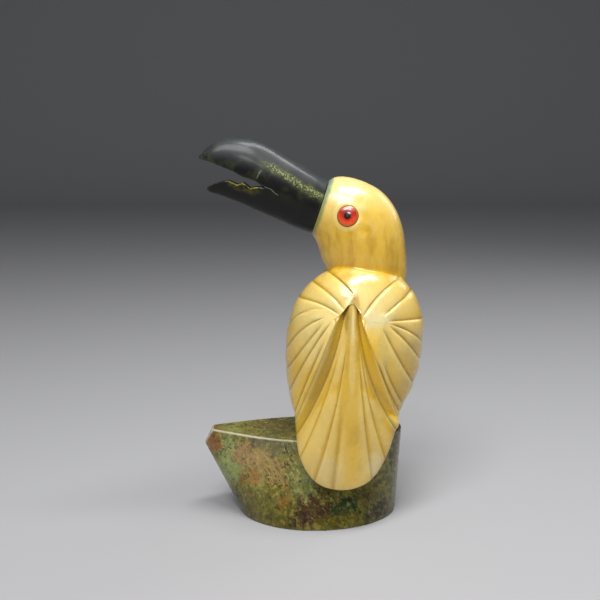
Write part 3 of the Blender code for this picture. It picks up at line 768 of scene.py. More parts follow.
# %% Sizes of the bill and the outline of the mouth
BILL_STATIONS = (
    # distance from the facet, ridge above the axis, underside below it, half thickness
    (0.0000, FACET_TOP, FACET_BOTTOM, FACET_HALF_WIDTH), (0.0065, 0.0147, 0.0144, 0.0113),
    (0.0150, 0.0163, 0.0137, 0.0107), (0.0235, 0.0180, 0.0129, 0.0098), (0.0349, 0.0201, 0.0118, 0.0084),
    (0.0402, 0.0204, 0.0114, 0.0078), (0.0452, 0.0198, 0.0111, 0.0072), (0.0501, 0.0185, 0.0109, 0.0065),
    (0.0546, 0.0164, 0.0107, 0.0058), (0.0588, 0.0131, 0.0070, 0.0049), (0.0618, 0.0093, 0.0020, 0.0037),
    (0.0642, 0.0050, -0.0034, 0.0014),
)
MOUTH_OUTLINE = (
    (0.0225, 0.0001), (0.0280, 0.0003), (0.0311, 0.0008), (0.0341, 0.0018), (0.0404, 0.0017),
    (0.0460, 0.0027), (0.0519, 0.0031), (0.0584, 0.0034), (0.0680, 0.0027), (0.0680, -0.0180),
    (0.0560, -0.0180), (0.0555, -0.0085), (0.0528, -0.0060), (0.0495, -0.0036), (0.0466, -0.0023),
    (0.0444, -0.0025), (0.0417, -0.0028), (0.0395, -0.0009), (0.0375, -0.0016), (0.0353, -0.0025),
    (0.0336, -0.0014), (0.0308, -0.0003), (0.0280, -0.0002),
)
BILL_AROUND, BILL_LAYERS, BILL_GAP = 96, 96, 0.0003
MOUTH_SAW = 0.046


def bill_point(distance, rise, y):
    """A point given along the bill's axis, above it and across it."""
    along = np.outer(distance + BILL_GAP, BILL_ALONG)
    return np.array(FACET)[None, :] + along + np.outer(rise, BILL_UP) + np.outer(y, (0, 1, 0))


print("bill, mm long:", round(BILL_STATIONS[-1][0] * 1000, 1))

# %% Raise the bill and saw the mouth out of it
bill, column, layer = raise_sleeve("open_bill", BILL_AROUND, BILL_LAYERS)
distance = BILL_STATIONS[-1][0] * np.sin(np.pi / 2 * np.arange(BILL_LAYERS + 1) / BILL_LAYERS)
ridge, underside, half_width = smooth_between(BILL_STATIONS, distance)
turn = 2 * np.pi * column / BILL_AROUND
rise = (ridge - underside)[layer] / 2 + (ridge + underside)[layer] / 2 * np.cos(turn)
move_points(bill, bill_point(distance[layer], rise, half_width[layer] * np.sin(turn)))
turn_faces_out(bill)

start_clean()
bpy.ops.mesh.primitive_circle_add(vertices=len(MOUTH_OUTLINE), radius=1, fill_type="NGON")
mouth = bpy.context.object
outline = np.array(MOUTH_OUTLINE)
move_points(mouth, bill_point(outline[:, 0], outline[:, 1], np.full(len(outline), -MOUTH_SAW / 2)))
edit_all(mouth)
bpy.ops.mesh.extrude_region_move(TRANSFORM_OT_translate={"value": (0.0, MOUTH_SAW, 0.0)})
leave_edit()
turn_faces_out(mouth)
cut_or_join(bill, mouth, "DIFFERENCE")
grind(bill, voxel=0.00032, passes=3)
write_values(bill, "hollow", hollowness(bill, passes=8, depth=0.00012))
print("bill triangles:", triangles(bill))

# %% [markdown]
# ## The glass eyes
# Each eye is a flat button of red glass with a low dome, glued into its socket. It is a disc that is
# extruded down into the socket and inset upwards into a dome. The colour follows the radius, so each
# point carries its share of the radius and how high it sits on the eye.

# %% Make one eye and place it on both sides
EYE_STEPS = 12


def make_eye(name, side):
    place, look = eye_seat(side)
    start_clean()
    bpy.ops.mesh.primitive_circle_add(vertices=96, radius=EYE_DIAMETER / 2, fill_type="NGON")
    eye = bpy.context.object
    eye.name = eye.data.name = name
    edit_all(eye)
    bpy.ops.mesh.extrude_region_move(TRANSFORM_OT_translate={"value": (0.0, 0.0, EYE_DEPTH)})
    for step in range(1, EYE_STEPS):
        lower, upper = (math.pi / 2 * k / EYE_STEPS for k in (step - 1, step))
        wide, high = math.cos(lower) - math.cos(upper), math.sin(upper) - math.sin(lower)
        bpy.ops.mesh.inset(thickness=wide * EYE_DIAMETER / 2, depth=high * EYE_DOME)
    bpy.ops.mesh.poke()
    leave_edit()
    turn_faces_out(eye)
    points = points_of(eye)
    write_values(eye, "radius", np.hypot(points[:, 0], points[:, 1]) / (EYE_DIAMETER / 2))
    eye.location = place - look * EYE_DEPTH
    eye.rotation_euler = look.to_track_quat("Z", "Y").to_euler()
    apply_place(eye)
    points = points_of(eye)
    write_values(eye, "height", (points[:, 2] - place.z) / (EYE_DIAMETER / 2))
    shade_smooth(eye)
    return eye


eye_left = make_eye("glass_eye_left", -1)
eye_right = make_eye("glass_eye_right", 1)
print("eye triangles:", triangles(eye_left))

# %% [markdown]
# ## Shared effects for stone
# All three stones show the same few effects: clouds, patches, painted shade in the hollows, and bright
# edges that are partly wear and partly painted highlights. Each is a node group that gives a mask, and
# each material sets its own sizes and colours. A ripple group bends the coordinates first, so that no
# rim is quite round. Everything starts from Object coordinates, so the pattern runs through the stone.

# %% Node helpers, which all add to the node tree that is being built
def paint(red, green, blue):
    """A colour as seen on screen, 0 to 255, turned into the linear values that a shader takes."""
    linear = [((c / 255 + 0.055) / 1.055) ** 2.4 if c > 10 else c / 3294 for c in (red, green, blue)]
    return (*linear, 1.0)


def put(kind, sockets=None, **settings):
    """Add a node, set it, and fill its sockets with values or with other nodes' outputs."""
    node = tree.nodes.new(kind)
    for key, value in settings.items():
        setattr(node, key, value)
    for socket, value in (sockets or {}).items():
        if isinstance(value, bpy.types.NodeSocket):
            tree.links.new(value, node.inputs[socket])
        else:
            node.inputs[socket].default_value = value
    return node


print("a middle grey on screen is", round(paint(128, 128, 128)[0], 3), "to a shader")


# %% Short names for the nodes that are used most
def calc(operation, a, b=0.0, c=0.0):
    return put("ShaderNodeMath", {0: a, 1: b, 2: c}, operation=operation).outputs[0]


def times(a, b):
    return calc("MULTIPLY", a, b)


def times_plus(a, b, c):
    return calc("MULTIPLY_ADD", a, b, c)


def vector_calc(operation, a, b, output=0):
    return put("ShaderNodeVectorMath", {0: a, 1: b}, operation=operation).outputs[output]


def remap(value, low, high, to_low=0.0, to_high=1.0):
    """A soft step: to_low at low, and to_high at high."""
    sockets = {"Value": value, "From Min": low, "From Max": high, "To Min": to_low, "To Max": to_high}
    return put("ShaderNodeMapRange", sockets, interpolation_type="SMOOTHSTEP").outputs[0]


def mix(mask, low, high, mode="MIX"):
    """Colour between two colours by a mask."""
    return put("ShaderNodeMix", {0: mask, 6: low, 7: high}, data_type="RGBA", blend_type=mode).outputs[2]


def over(colour, mask, strength, tint, mode="MIX"):
    """A colour laid over another one with a strength, where the mask is."""
    return mix(times(mask, strength), colour, tint, mode)


def stored(name):
    return put("ShaderNodeAttribute", attribute_name=name).outputs["Fac"]


def object_coordinates():
    return put("ShaderNodeTexCoord").outputs["Object"]


def height_of(place):
    return put("ShaderNodeSeparateXYZ", {0: place}).outputs["Z"]


# %% Node groups
def new_group(name, inputs, outputs):
    """An empty group: its tree, what it is given by name (kind, value) and what it puts out (kind)."""
    group = bpy.data.node_groups.new(name, "ShaderNodeTree")
    for key, (kind, value) in inputs.items():
        socket = group.interface.new_socket(key, in_out="INPUT", socket_type="NodeSocket" + kind)
        if value is not None:
            socket.default_value = value
    for key, kind in outputs.items():
        group.interface.new_socket(key, in_out="OUTPUT", socket_type="NodeSocket" + kind)
    return group, group.nodes.new("NodeGroupInput").outputs, group.nodes.new("NodeGroupOutput").inputs


def use(group, output, **sockets):
    """Place a group and return one of its outputs."""
    return put("ShaderNodeGroup", sockets, node_tree=group).outputs[output]


# %% Clouds
tree, given, out = new_group(
    "stone_clouds",
    {"Vector": ("Vector", None), "Stretch": ("Vector", (1, 1, 1)), "Scale": ("Float", 40.0),
     "Detail": ("Float", 3.0), "Roughness": ("Float", 0.6), "Low": ("Float", 0.4),
     "High": ("Float", 0.6)},
    {"Mask": "Float"})
noise_sockets = {key: given[key] for key in ("Scale", "Detail", "Roughness")}
noise_sockets["Vector"] = vector_calc("MULTIPLY", given["Vector"], given["Stretch"])
noise = put("ShaderNodeTexNoise", noise_sockets).outputs[0]
tree.links.new(remap(noise, given["Low"], given["High"]), out["Mask"])
clouds = tree


def cloudy(vector, scale, low, high, **more):
    """Clouds of a noise: 0 below low and 1 above high."""
    return use(clouds, "Mask", Vector=vector, Scale=scale, Low=low, High=high, **more)


# %% Patches
tree, given, out = new_group(
    "stone_patch",
    {"Vector": ("Vector", None), "Centre": ("Vector", (0, 0, 0)),
     "Reach": ("Vector", (0.01, 0.05, 0.01)), "Softness": ("Float", 0.6)},
    {"Mask": "Float"})
away = vector_calc("SUBTRACT", given["Vector"], given["Centre"])
share = vector_calc("DIVIDE", away, given["Reach"])
length = put("ShaderNodeVectorMath", {0: share}, operation="LENGTH").outputs["Value"]
inner = calc("SUBTRACT", 1.0, given["Softness"])
outer = calc("ADD", 1.0, given["Softness"])
tree.links.new(remap(length, outer, inner), out["Mask"])
patch = tree


def spot(vector, centre, reach, softness):
    """A round patch with a soft rim."""
    return use(patch, "Mask", Vector=vector, Centre=centre, Reach=reach, Softness=softness)


# %% Ripples, which bend the edges of clouds and patches
tree, given, out = new_group(
    "ripple",
    {"Vector": ("Vector", None), "Scale": ("Float", 60.0), "Amount": ("Float", 0.004)},
    {"Vector": "Vector"})
noise = put("ShaderNodeTexNoise", {"Vector": given["Vector"], "Scale": given["Scale"], "Detail": 3.0})
centred = vector_calc("SUBTRACT", noise.outputs[1], (0.5, 0.5, 0.5))
shift = put("ShaderNodeVectorMath", {0: centred, "Scale": given["Amount"]}, operation="SCALE").outputs[0]
tree.links.new(vector_calc("ADD", given["Vector"], shift), out["Vector"])
ripple = tree


def rippled(vector, scale, amount):
    return use(ripple, "Vector", Vector=vector, Scale=scale, Amount=amount)


# %% Hollows and edges: masks for painted shade in the hollows and for edges that are partly worn and partly painted highlights
tree, given, out = new_group(
    "hollow_and_edge",
    {"Reach": ("Float", 1.0)},
    {"Hollow": "Float", "Edge": "Float"})
scaled = times(stored("hollow"), given["Reach"])
tree.links.new(remap(scaled, 0.05, 0.9), out["Hollow"])
tree.links.new(remap(scaled, -0.3, -0.9), out["Edge"])
hollow_and_edge_masks = tree
print("effects:", [group.name for group in bpy.data.node_groups])

# %% What the three stones and the glass have in common
def stone(name, **sockets):
    """A new material, its node tree and its shader with some sockets set."""
    material = bpy.data.materials.new(name)
    material.use_nodes = True
    shader = material.node_tree.nodes["Principled BSDF"]
    for socket, value in sockets.items():
        shader.inputs[socket.replace("_", " ")].default_value = value
    return material, material.node_tree, shader


def polish(shader, colour, roughness, height, strength, distance):
    """Give the shader a stone's colour, its uneven polish and its faint relief."""
    bump = put("ShaderNodeBump", {"Height": height, "Strength": strength, "Distance": distance})
    tree.links.new(colour, shader.inputs["Base Color"])
    tree.links.new(roughness, shader.inputs["Roughness"])
    tree.links.new(bump.outputs[0], shader.inputs["Normal"])


# %% [markdown]
# ## Yellow stone
# The bird is a translucent yellow calcite or soapstone, waxed to a shine. It runs from cream on the
# crown and cape to mustard on the neck and tan on the tail, with upright streaks in the neck; the cream
# is partly a painted highlight of the light from above. Light enters it a little, which subsurface
# scattering gives. A few soft patches set its colours where the real stone has them; those on the
# crown, face, cape and wings also paint the light from above, and those on the tail's root paint the
# shade in its sunken root. A glued facet shows a thin blue-green line through the stone.

# %% Yellow stone: ground, streaks and patches, some of which are painted light and shade
yellow, tree, shader = stone(
    "yellow_stone", Roughness=0.34, Coat_Weight=0.45, Coat_Roughness=0.08, Subsurface_Weight=0.12,
    Subsurface_Radius=(1.0, 0.6, 0.25), Subsurface_Scale=0.003)
object_place = object_coordinates()
warped = rippled(object_place, 70.0, 0.007)
line, crest, tail, slope = (stored(name) for name in ("line", "crest", "tail", "slope"))
GOLD, CREAM, MUSTARD = paint(230, 186, 56), paint(238, 218, 148), paint(190, 144, 20)
TAN, OLIVE, PALE = paint(203, 164, 52), paint(134, 100, 4), paint(222, 212, 174)
colour = mix(cloudy(warped, 34.0, 0.38, 0.64), GOLD, paint(234, 194, 74))
tan_clouds = cloudy(warped, 55.0, 0.42, 0.6)
colour = over(colour, tail, times_plus(tan_clouds, 0.5, 0.4), TAN)
streaks = cloudy(warped, 210.0, 0.4, 0.68, Stretch=(1.0, 1.0, 0.10), Detail=4.0)
neck = spot(object_place, (0.020, 0.0, 0.134), (0.05, 0.2, 0.016), 0.55)
colour = over(colour, neck, 0.85, mix(streaks, paint(224, 180, 52), MUSTARD))
settled = rippled(object_place, 90.0, 0.003)
YELLOW_PATCHES = (
    # centre, reach, colour, strength: crown, face, cape, left wing, right wing, right of the hub,
    # right inner slope, tail's right side, then six on the tail's root, and the tail's left side
    # crown, face, cape and both wings: the stone's cream, strengthened as a painted highlight where the
    # light from above falls
    ((0.018, 0.0, 0.176), (0.030, 0.2, 0.016), paint(228, 206, 144), 0.75),
    ((0.006, 0.0, 0.160), (0.014, 0.2, 0.010), CREAM, 0.5),
    ((0.018, -0.044, 0.111), (0.034, 0.024, 0.014), CREAM, 0.9),
    ((0.000, -0.03, 0.097), (0.012, 0.06, 0.014), CREAM, 0.6),
    ((0.040, -0.03, 0.095), (0.010, 0.06, 0.014), CREAM, 0.3),
    ((0.0272, -0.034, 0.1039), (0.0075, 0.05, 0.0034), paint(220, 210, 162), 0.8),
    ((0.0312, -0.034, 0.0867), (0.0030, 0.05, 0.0110), paint(204, 188, 118), 0.5),
    ((0.0280, -0.035, 0.0330), (0.0035, 0.05, 0.0060), PALE, 0.55),
    # the tail's sunken root: painted shade, darkest in the two slots beside its ridge, and a pale
    # painted highlight on the ridge
    ((0.0162, -0.034, 0.1060), (0.0050, 0.05, 0.0095), paint(198, 160, 44), 0.6),
    ((0.0166, -0.034, 0.1010), (0.0012, 0.05, 0.0060), PALE, 0.35),
    ((0.0177, -0.034, 0.1125), (0.0016, 0.05, 0.0036), paint(186, 142, 16), 0.85),
    ((0.0188, -0.034, 0.1050), (0.0009, 0.05, 0.0070), paint(190, 150, 34), 0.6),
    ((0.0141, -0.034, 0.1029), (0.0008, 0.05, 0.0060), paint(150, 116, 20), 0.6),
    ((0.0196, -0.034, 0.0980), (0.0009, 0.05, 0.0080), paint(156, 122, 20), 0.5),
    ((0.0060, -0.035, 0.0300), (0.0060, 0.05, 0.0080), PALE, 0.25),
)
for centre, reach, tint, strength in YELLOW_PATCHES:
    colour = over(colour, spot(settled, centre, reach, 0.6), strength, tint)
fine = cloudy(warped, 420.0, 0.45, 0.8, Stretch=(1.0, 1.0, 0.35), Detail=4.0)
colour = over(colour, fine, 0.22, paint(214, 180, 110), "MULTIPLY")
print("yellow ground and patches:", len(tree.nodes), "nodes")

# %% Yellow stone: painted shade with a little dirt in the lines and hollows, painted light and shade on the inner slopes, and painted highlights on the rubbed crests
hollow = use(hollow_and_edge_masks, "Hollow", Reach=1.0)
edge = use(hollow_and_edge_masks, "Edge", Reach=1.0)
# painted shade: the lines, half as much on the tail, and the hollows are darkened to olive, with a
# little dirt in the lines
dark = calc("MAXIMUM", times(line, times_plus(tail, -0.30, 0.60)), times(hollow, 0.30))
# painted shade on the left inner slope and painted light on the right one, brighter higher up, as the
# lamps fall on them
colour = over(colour, calc("MAXIMUM", slope, 0.0), 0.85, paint(198, 158, 12))
above_tail = remap(height_of(object_place), 0.055, 0.074, 0.1, 0.7)
right_slope = times(calc("MAXIMUM", times(slope, -1.0), 0.0), above_tail)
colour = mix(right_slope, colour, paint(232, 186, 36))
colour = mix(dark, colour, OLIVE)
# painted highlight on the crests and the convex edges, which polishing also rubbed pale; it is held back
# at the hub's apex
bright = calc("MAXIMUM", times(crest, 0.5), times(edge, 0.35))
apex = spot(object_place, (HUB_APEX[0], -0.034, HUB_APEX[1]), (0.0048, 0.05, 0.0060), 0.5)
bright = times(bright, calc("SUBTRACT", 1.0, apex))
colour = mix(bright, colour, CREAM)
print("with dirt and crests:", len(tree.nodes), "nodes")

# %% Yellow stone: the glue line, which follows the distance behind the facet's plane, and the polish
behind = vector_calc("DOT_PRODUCT", object_place, tuple(-BILL_ALONG), "Value")
behind = calc("SUBTRACT", behind, -FACET.dot(BILL_ALONG))
ragged = cloudy(object_place, 260.0, 0.3, 0.7)
behind = times_plus(ragged, 0.0007, behind)
band = remap(behind, 0.0030, 0.0012)
teal = mix(remap(height_of(object_place), 0.150, 0.166), paint(116, 128, 66), paint(104, 142, 126))
colour = over(colour, band, 0.85, teal)
scuffs = cloudy(warped, 160.0, 0.35, 0.75, Detail=5.0)
ripples = cloudy(object_place, 330.0, 0.2, 0.8, Detail=3.0)
polish(shader, colour, remap(scuffs, 0.0, 1.0, 0.26, 0.40), ripples, 0.12, 0.0004)
print("yellow stone:", len(tree.nodes), "nodes")

# %% [markdown]
# ## Mottled base stone
# The base is a green and brown serpentine-like stone: olive ground with light green, tan, rust and
# dark patches, broken up by small dark grains that lie on a slant. Large patches give the places of
# the colours, clouds break their edges, and two layers of specks give the grain. On top of the stone's
# colours it gets painted shade towards the bottom, a painted shadow under the tail's tip, and a
# painted highlight along its worn top edge.

# %% Mottled stone: ground and patches
GRAIN_SLANT = math.radians(38)
mottled, tree, shader = stone(
    "mottled_stone", Roughness=0.3, Coat_Weight=0.22, Coat_Roughness=0.08, Specular_IOR_Level=0.35)
object_place = object_coordinates()
warped = rippled(object_place, 120.0, 0.010)
mapping = put("ShaderNodeMapping", {"Vector": object_place, "Rotation": (0.0, GRAIN_SLANT, 0.0)})
turned = mapping.outputs[0]


def veins(scale, low, high, vector=None, stretch=(1.0, 1.0, 0.7)):
    """Clouds with a torn, sandy edge, for everything that is broken up in this stone."""
    return cloudy(vector or turned, scale, low, high, Stretch=stretch, Detail=9.0, Roughness=0.74)


sand = veins(230.0, 0.36, 0.64)
colour = mix(veins(110.0, 0.40, 0.60), paint(116, 102, 28), paint(160, 152, 74))
colour = over(colour, veins(150.0, 0.48, 0.62, warped), 0.7, paint(96, 120, 62))
BASE_PATCHES = (
    # centre, reach, colour, strength
    ((-0.044, -0.01, 0.030), (0.009, 0.06, 0.014), paint(160, 176, 104), 0.9),
    ((-0.032, -0.02, 0.034), (0.012, 0.06, 0.008), paint(186, 148, 98), 0.9),
    ((-0.024, -0.02, 0.026), (0.010, 0.06, 0.009), paint(186, 152, 88), 0.75),
    ((-0.033, -0.02, 0.022), (0.0036, 0.06, 0.0050), paint(184, 116, 56), 0.6),
    ((-0.017, -0.03, 0.014), (0.0036, 0.06, 0.0036), paint(176, 110, 56), 0.55),
    ((-0.051, 0.0, 0.036), (0.0050, 0.06, 0.0070), paint(160, 96, 40), 0.9),
    ((-0.022, -0.01, 0.039), (0.012, 0.06, 0.005), paint(120, 112, 78), 0.8),
    ((-0.006, -0.02, 0.020), (0.006, 0.06, 0.010), paint(122, 132, 74), 0.8),
    # dark brown stone under the tail's tip, deepened as a painted shadow of the tail
    ((0.002, -0.03, 0.010), (0.013, 0.04, 0.007), paint(84, 50, 22), 0.95),
    ((-0.010, -0.03, 0.005), (0.005, 0.04, 0.004), paint(70, 36, 26), 0.8),
    ((0.014, -0.03, 0.010), (0.007, 0.04, 0.005), paint(46, 84, 48), 0.95),
    ((0.012, -0.02, 0.004), (0.012, 0.04, 0.003), paint(130, 116, 30), 0.7),
    ((0.030, -0.02, 0.006), (0.008, 0.04, 0.005), paint(44, 34, 16), 0.9),
    ((0.040, -0.01, 0.034), (0.006, 0.06, 0.012), paint(80, 66, 50), 0.8),
    ((0.038, -0.01, 0.016), (0.007, 0.06, 0.010), paint(98, 98, 56), 0.7),
    ((-0.020, 0.02, 0.043), (0.014, 0.03, 0.004), paint(104, 88, 34), 0.6),
)
for centre, reach, tint, strength in BASE_PATCHES:
    sandy_patch = times_plus(sand, 0.7, spot(warped, centre, reach, 0.8))
    colour = over(colour, remap(sandy_patch, 0.74, 1.2), strength, tint)
print("mottled ground and patches:", len(tree.nodes), "nodes")

# %% Mottled stone: rust, light and dark grain, painted shade towards the bottom, a painted highlight on the worn top edge, and polish
rust = times(veins(150.0, 0.55, 0.62, warped), veins(40.0, 0.44, 0.56))
colour = over(colour, rust, 0.7, paint(170, 96, 40))
colour = over(colour, veins(560.0, 0.49, 0.66), 0.62, paint(204, 196, 116))
colour = over(colour, veins(380.0, 0.53, 0.63, warped), 0.6, paint(64, 92, 48))
gathered = times_plus(veins(90.0, 0.40, 0.60, warped), 0.7, 0.32)
dark_grain = times(veins(720.0, 0.50, 0.60, stretch=(1.0, 1.0, 0.6)), gathered)
colour = over(colour, dark_grain, 0.95, paint(40, 38, 12))
colour = over(colour, sand, 0.42, paint(138, 132, 112), "MULTIPLY")
height = height_of(object_place)
# painted shade: the stone is darker towards the bottom
colour = mix(remap(height, 0.026, 0.004, 0.0, 0.6), colour, paint(140, 126, 60), "MULTIPLY")
# painted highlight along the top edge, strongest at the toe's front, which the polished edge's wear also
# lightens
edge_highlight_and_wear = times(use(hollow_and_edge_masks, "Edge", Reach=1.4), remap(height, 0.030, 0.040, 0.04, 1.0))
along_edge = spot(warped, (-0.040, -0.02, 0.040), (0.026, 0.06, 0.02), 0.5)
edge_highlight_and_wear = times(edge_highlight_and_wear, times_plus(along_edge, 0.42, 0.10))
colour = mix(edge_highlight_and_wear, colour, paint(226, 222, 206))
pits = calc("SUBTRACT", 1.0, dark_grain)
polish(shader, colour, remap(dark_grain, 0.0, 1.0, 0.27, 0.42), pits, 0.12, 0.0004)
print("mottled stone:", len(tree.nodes), "nodes")

# %% [markdown]
# ## Black bill stone
# The bill is a near-black stone with dark olive clouds, polished to a gloss. Its top is lightened to
# a painted grey sheen, the reflection of the lamps above. A row of pale specks runs along its side from
# the gape to the joint, a painted reflection broken up by polish scuffs, and the chipped edge of the
# mouth is yellow-olive, where the fresh stone shows. Two scratches cross the side. All are masks laid
# along the bill's own axis.

# %% Black stone: olive clouds and a painted grey sheen on the top
black, tree, shader = stone(
    "black_stone", Roughness=0.42, Coat_Weight=0.2, Coat_Roughness=0.17, Specular_IOR_Level=0.22)
object_place = object_coordinates()
warped = rippled(object_place, 150.0, 0.004)
from_facet = vector_calc("SUBTRACT", warped, tuple(FACET))
along = vector_calc("DOT_PRODUCT", from_facet, tuple(BILL_ALONG), "Value")
above = vector_calc("DOT_PRODUCT", from_facet, tuple(BILL_UP), "Value")
olive_clouds = cloudy(warped, 110.0, 0.42, 0.66, Detail=5.0)
side_zone = remap(above, -0.006, 0.010)
colour = over(paint(7, 7, 6), olive_clouds, side_zone, paint(52, 56, 30))
# painted reflection: the top is lightened to a soft blue-grey sheen of the lamps above
painted_top_sheen = remap(above, 0.004, 0.014)
colour = over(colour, painted_top_sheen, 0.7, paint(58, 62, 66))
print("black ground:", len(tree.nodes), "nodes")

# %% Black stone: the speckled band from the joint to the gape, a painted reflection on scuffed polish
BAND_SLOPE, BAND_START = 0.2226, 0.0040
ridge_line = calc("ABSOLUTE", calc("SUBTRACT", above, times_plus(along, BAND_SLOPE, BAND_START)))
speck_clouds = cloudy(object_place, 1300.0, 0.48, 0.60, Detail=4.0)
# painted reflection along the bend of the side, broken up by polish scuffs into pale specks
scuffed_sheen_band = times(remap(ridge_line, 0.0036, 0.0004), remap(along, 0.040, 0.028))
glow_clouds = cloudy(object_place, 420.0, 0.38, 0.66, Detail=6.0, Roughness=0.7)
colour = over(colour, scuffed_sheen_band, times_plus(glow_clouds, 0.4, 0.12), paint(96, 102, 48))
specks = times(calc("POWER", scuffed_sheen_band, 3.0), speck_clouds)
colour = over(colour, specks, 0.6, paint(178, 184, 122))
print("with the band:", len(tree.nodes), "nodes")

# %% Black stone: rubbed edges, chipped mouth and dim tip
edge = times(use(hollow_and_edge_masks, "Edge", Reach=1.3), times_plus(speck_clouds, 0.6, 0.25))
gape = times(remap(along, 0.028, 0.034), remap(along, 0.050, 0.044))
gape = times(gape, remap(above, 0.0004, -0.0004))
edge_tint = mix(gape, paint(96, 96, 84), paint(190, 176, 64))
colour = over(colour, edge, times_plus(gape, 0.6, 0.4), edge_tint)
chipped = times(times(gape, remap(above, -0.0058, -0.0030)), glow_clouds)
colour = over(colour, chipped, 0.35, paint(130, 122, 40))
tip = remap(along, 0.060, 0.065)
colour = over(colour, tip, times_plus(speck_clouds, 0.4, 0.1), paint(116, 122, 124))
print("with edges and tip:", len(tree.nodes), "nodes")

# %% Black stone: two scratches and the polish
SCRATCH_FADE, SCRATCH_HALF_WIDTH = 0.0006, 0.0004
SCRATCHES = (
    # from (along, above), to (along, above): beside the gape, and behind it
    ((0.0329, 0.0076), (0.0345, 0.0034)), ((0.0292, 0.0002), (0.0222, -0.0006)),
)
for (a, b), (c, d) in SCRATCHES:
    run = math.hypot(c - a, d - b)
    ahead = times(calc("SUBTRACT", along, a), (c - a) / run)
    ahead = times_plus(calc("SUBTRACT", above, b), (d - b) / run, ahead)
    aside = times(calc("SUBTRACT", along, a), (d - b) / run)
    aside = calc("ABSOLUTE", times_plus(calc("SUBTRACT", above, b), (a - c) / run, aside))
    near_end = remap(ahead, run + SCRATCH_FADE, run - SCRATCH_FADE)
    ends = times(remap(ahead, -SCRATCH_FADE, SCRATCH_FADE), near_end)
    scratch = times(remap(aside, SCRATCH_HALF_WIDTH, 0.0), ends)
    colour = over(colour, scratch, 0.34, paint(168, 176, 158))
scuffs = cloudy(warped, 200.0, 0.35, 0.75, Detail=5.0)
polish(shader, colour, remap(scuffs, 0.0, 1.0, 0.42, 0.56), speck_clouds, 0.08, 0.0003)
print("black stone:", len(tree.nodes), "nodes")

# %% [markdown]
# ## Red glass eyes
# The eye is backed glass: a black pupil with a brown middle, an orange-red ring and a thin amber rim.
# The ring is painted darker above and orange below, as painted light that the glass gathers from
# above, and a pale pink crescent at its top is a painted reflection. The glass is never seen through,
# so the other colours are those of its painted back, and a clear coat gives the gloss.

# %% Red glass material
glass, tree, shader = stone("red_glass", Roughness=0.22, Coat_Weight=0.6, Coat_Roughness=0.03)
radius, eye_height = stored("radius"), stored("height")
grain = cloudy(object_coordinates(), 900.0, 0.4, 0.65, Detail=3.0)
# painted light: orange below and dark red above, where the glass would gather and lose the light from
# above
colour = mix(remap(eye_height, -0.6, 0.5), paint(242, 72, 16), paint(158, 24, 24))
colour = over(colour, grain, 0.30, paint(236, 104, 76))
colour = over(colour, remap(radius, 0.66, 0.34), 0.6, paint(112, 12, 12))
# painted reflection: a pale pink crescent at the top of the ring
upper = times(remap(eye_height, 0.45, 0.9), remap(radius, 0.55, 0.9))
colour = over(colour, upper, 0.65, paint(244, 178, 160))
colour = mix(remap(radius, 0.84, 0.98), colour, paint(190, 106, 40))
pupil = mix(remap(radius, 0.22, 0.05), paint(16, 8, 8), paint(70, 34, 24))
colour = mix(remap(radius, 0.38, 0.29), colour, pupil)
tree.links.new(colour, shader.inputs["Base Color"])
print("red glass:", len(tree.nodes), "nodes")

# %% Give each piece its material and its body, hide the CAD node it stands for, and print how far it reaches beyond that node's box
PIECES = (
    (base_stone, mottled, "base", "mottled_stone"),
    (body, yellow, "bird", "yellow_stone"),
    (bill, black, "beak", "black_stone"),
    (eye_left, glass, "eye_left", "red_glass"),
    (eye_right, glass, "eye_right", "red_glass"),
)
for piece, material, node, slot in PIECES:
    piece.data.materials.clear()
    piece.data.materials.append(material)
    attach(piece, "root")
    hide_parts(node)
    low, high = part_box(node)
    points = points_of(piece)
    beyond = np.array((np.array(low) - points.min(axis=0), points.max(axis=0) - np.array(high)))
    print(piece.name, "beyond its node, mm:", (beyond * 1000).round(2).tolist())

# %% [markdown]
# ## Floor, light and camera
# A plain pale floor and soft lamps are enough. The long lamp overhead draws the bright bar across the
# cape and the line along the base's edge, which painted highlights in the stones' colours strengthen,
# and the large one in front fills the carving softly. Two small ones to the left above the camera give
# the eye its spark, and a weak one behind lights the rims. The camera looks a little down on the bird.

# %% Floor that runs up behind the bird
SWEEP_STEPS, SWEEP_STEP = 12, 0.12
start_clean()
bpy.ops.mesh.primitive_plane_add(size=5.0, location=(0.0, 0.0, 0.0))
floor = bpy.context.object
floor.name = "studio_floor"
edit_edges(floor, lambda a, b: a.y > 1.0 and b.y > 1.0)
for step in range(SWEEP_STEPS):
    turn = math.radians(90 / SWEEP_STEPS * (step + 0.5))
    move = (0.0, SWEEP_STEP * math.cos(turn), SWEEP_STEP * math.sin(turn))
    bpy.ops.mesh.extrude_region_move(TRANSFORM_OT_translate={"value": move})
bpy.ops.mesh.extrude_region_move(TRANSFORM_OT_translate={"value": (0.0, 0.0, 2.0)})
leave_edit()
bpy.ops.object.shade_smooth()
floor_paint = bpy.data.materials.new("floor_paint")
floor_paint.use_nodes = True
floor_shader = floor_paint.node_tree.nodes["Principled BSDF"]
floor_shader.inputs["Base Color"].default_value = paint(172, 172, 174)
floor_shader.inputs["Roughness"].default_value = 0.7
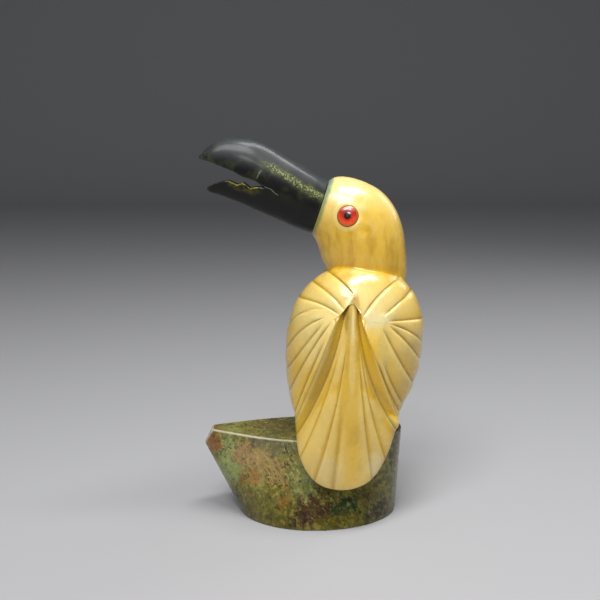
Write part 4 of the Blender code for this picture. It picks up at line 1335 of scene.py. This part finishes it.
floor.data.materials.append(floor_paint)
print("floor triangles:", triangles(floor))


# %% Lamps
def add_lamp(name, place, target, size, watts):
    lamp = bpy.data.lights.new(name, "AREA")
    lamp.shape = "RECTANGLE"
    lamp.size, lamp.size_y = size
    lamp.energy = watts
    holder = bpy.data.objects.new(name, lamp)
    bpy.context.scene.collection.objects.link(holder)
    holder.location = place
    holder.rotation_euler = (Vector(target) - Vector(place)).to_track_quat("-Z", "Y").to_euler()


LAMPS = (
    # name, place, target, width and height, watts
    ("overhead_lamp", (0.13, -0.14, 0.85), (0.01, 0.0, 0.10), (0.55, 0.16), 6.0),
    ("front_lamp", (-0.30, -0.95, 1.25), (0.0, 0.0, 0.09), (0.7, 0.5), 15.0),
    ("spark_lamp", (-0.20, -0.90, 0.62), (0.01, 0.0, 0.14), (0.06, 0.05), 0.3),
    ("second_spark_lamp", (-0.13, -0.92, 0.60), (0.01, 0.0, 0.14), (0.05, 0.05), 0.25),
    ("rim_lamp", (0.75, 0.55, 0.60), (0.02, 0.0, 0.12), (0.4, 0.5), 1.4),
)
for lamp_row in LAMPS:
    add_lamp(*lamp_row)
world = bpy.data.worlds.new("studio_room")
world.use_nodes = True
background = world.node_tree.nodes["Background"].inputs
background["Color"].default_value = (0.82, 0.84, 0.88, 1.0)
background["Strength"].default_value = 0.12
bpy.context.scene.world = world
print("lamps:", [row[0] for row in LAMPS])

# %% Camera
camera = bpy.data.cameras.new("photo_camera")
camera.lens, camera.sensor_width, camera.clip_start = 60.0, 36.0, 0.01
camera_holder = bpy.data.objects.new("photo_camera", camera)
bpy.context.scene.collection.objects.link(camera_holder)
camera_holder.location = (-0.00827, -0.49384, 0.18710)
camera_look = Vector((-0.00827, 0.0, 0.10888)) - camera_holder.location
camera_holder.rotation_euler = camera_look.to_track_quat("-Z", "Y").to_euler()
bpy.context.scene.camera = camera_holder
bpy.context.scene.view_settings.view_transform = "Standard"
print("camera pitch:", round(math.degrees(camera_holder.rotation_euler.x) - 90, 2), "degrees")
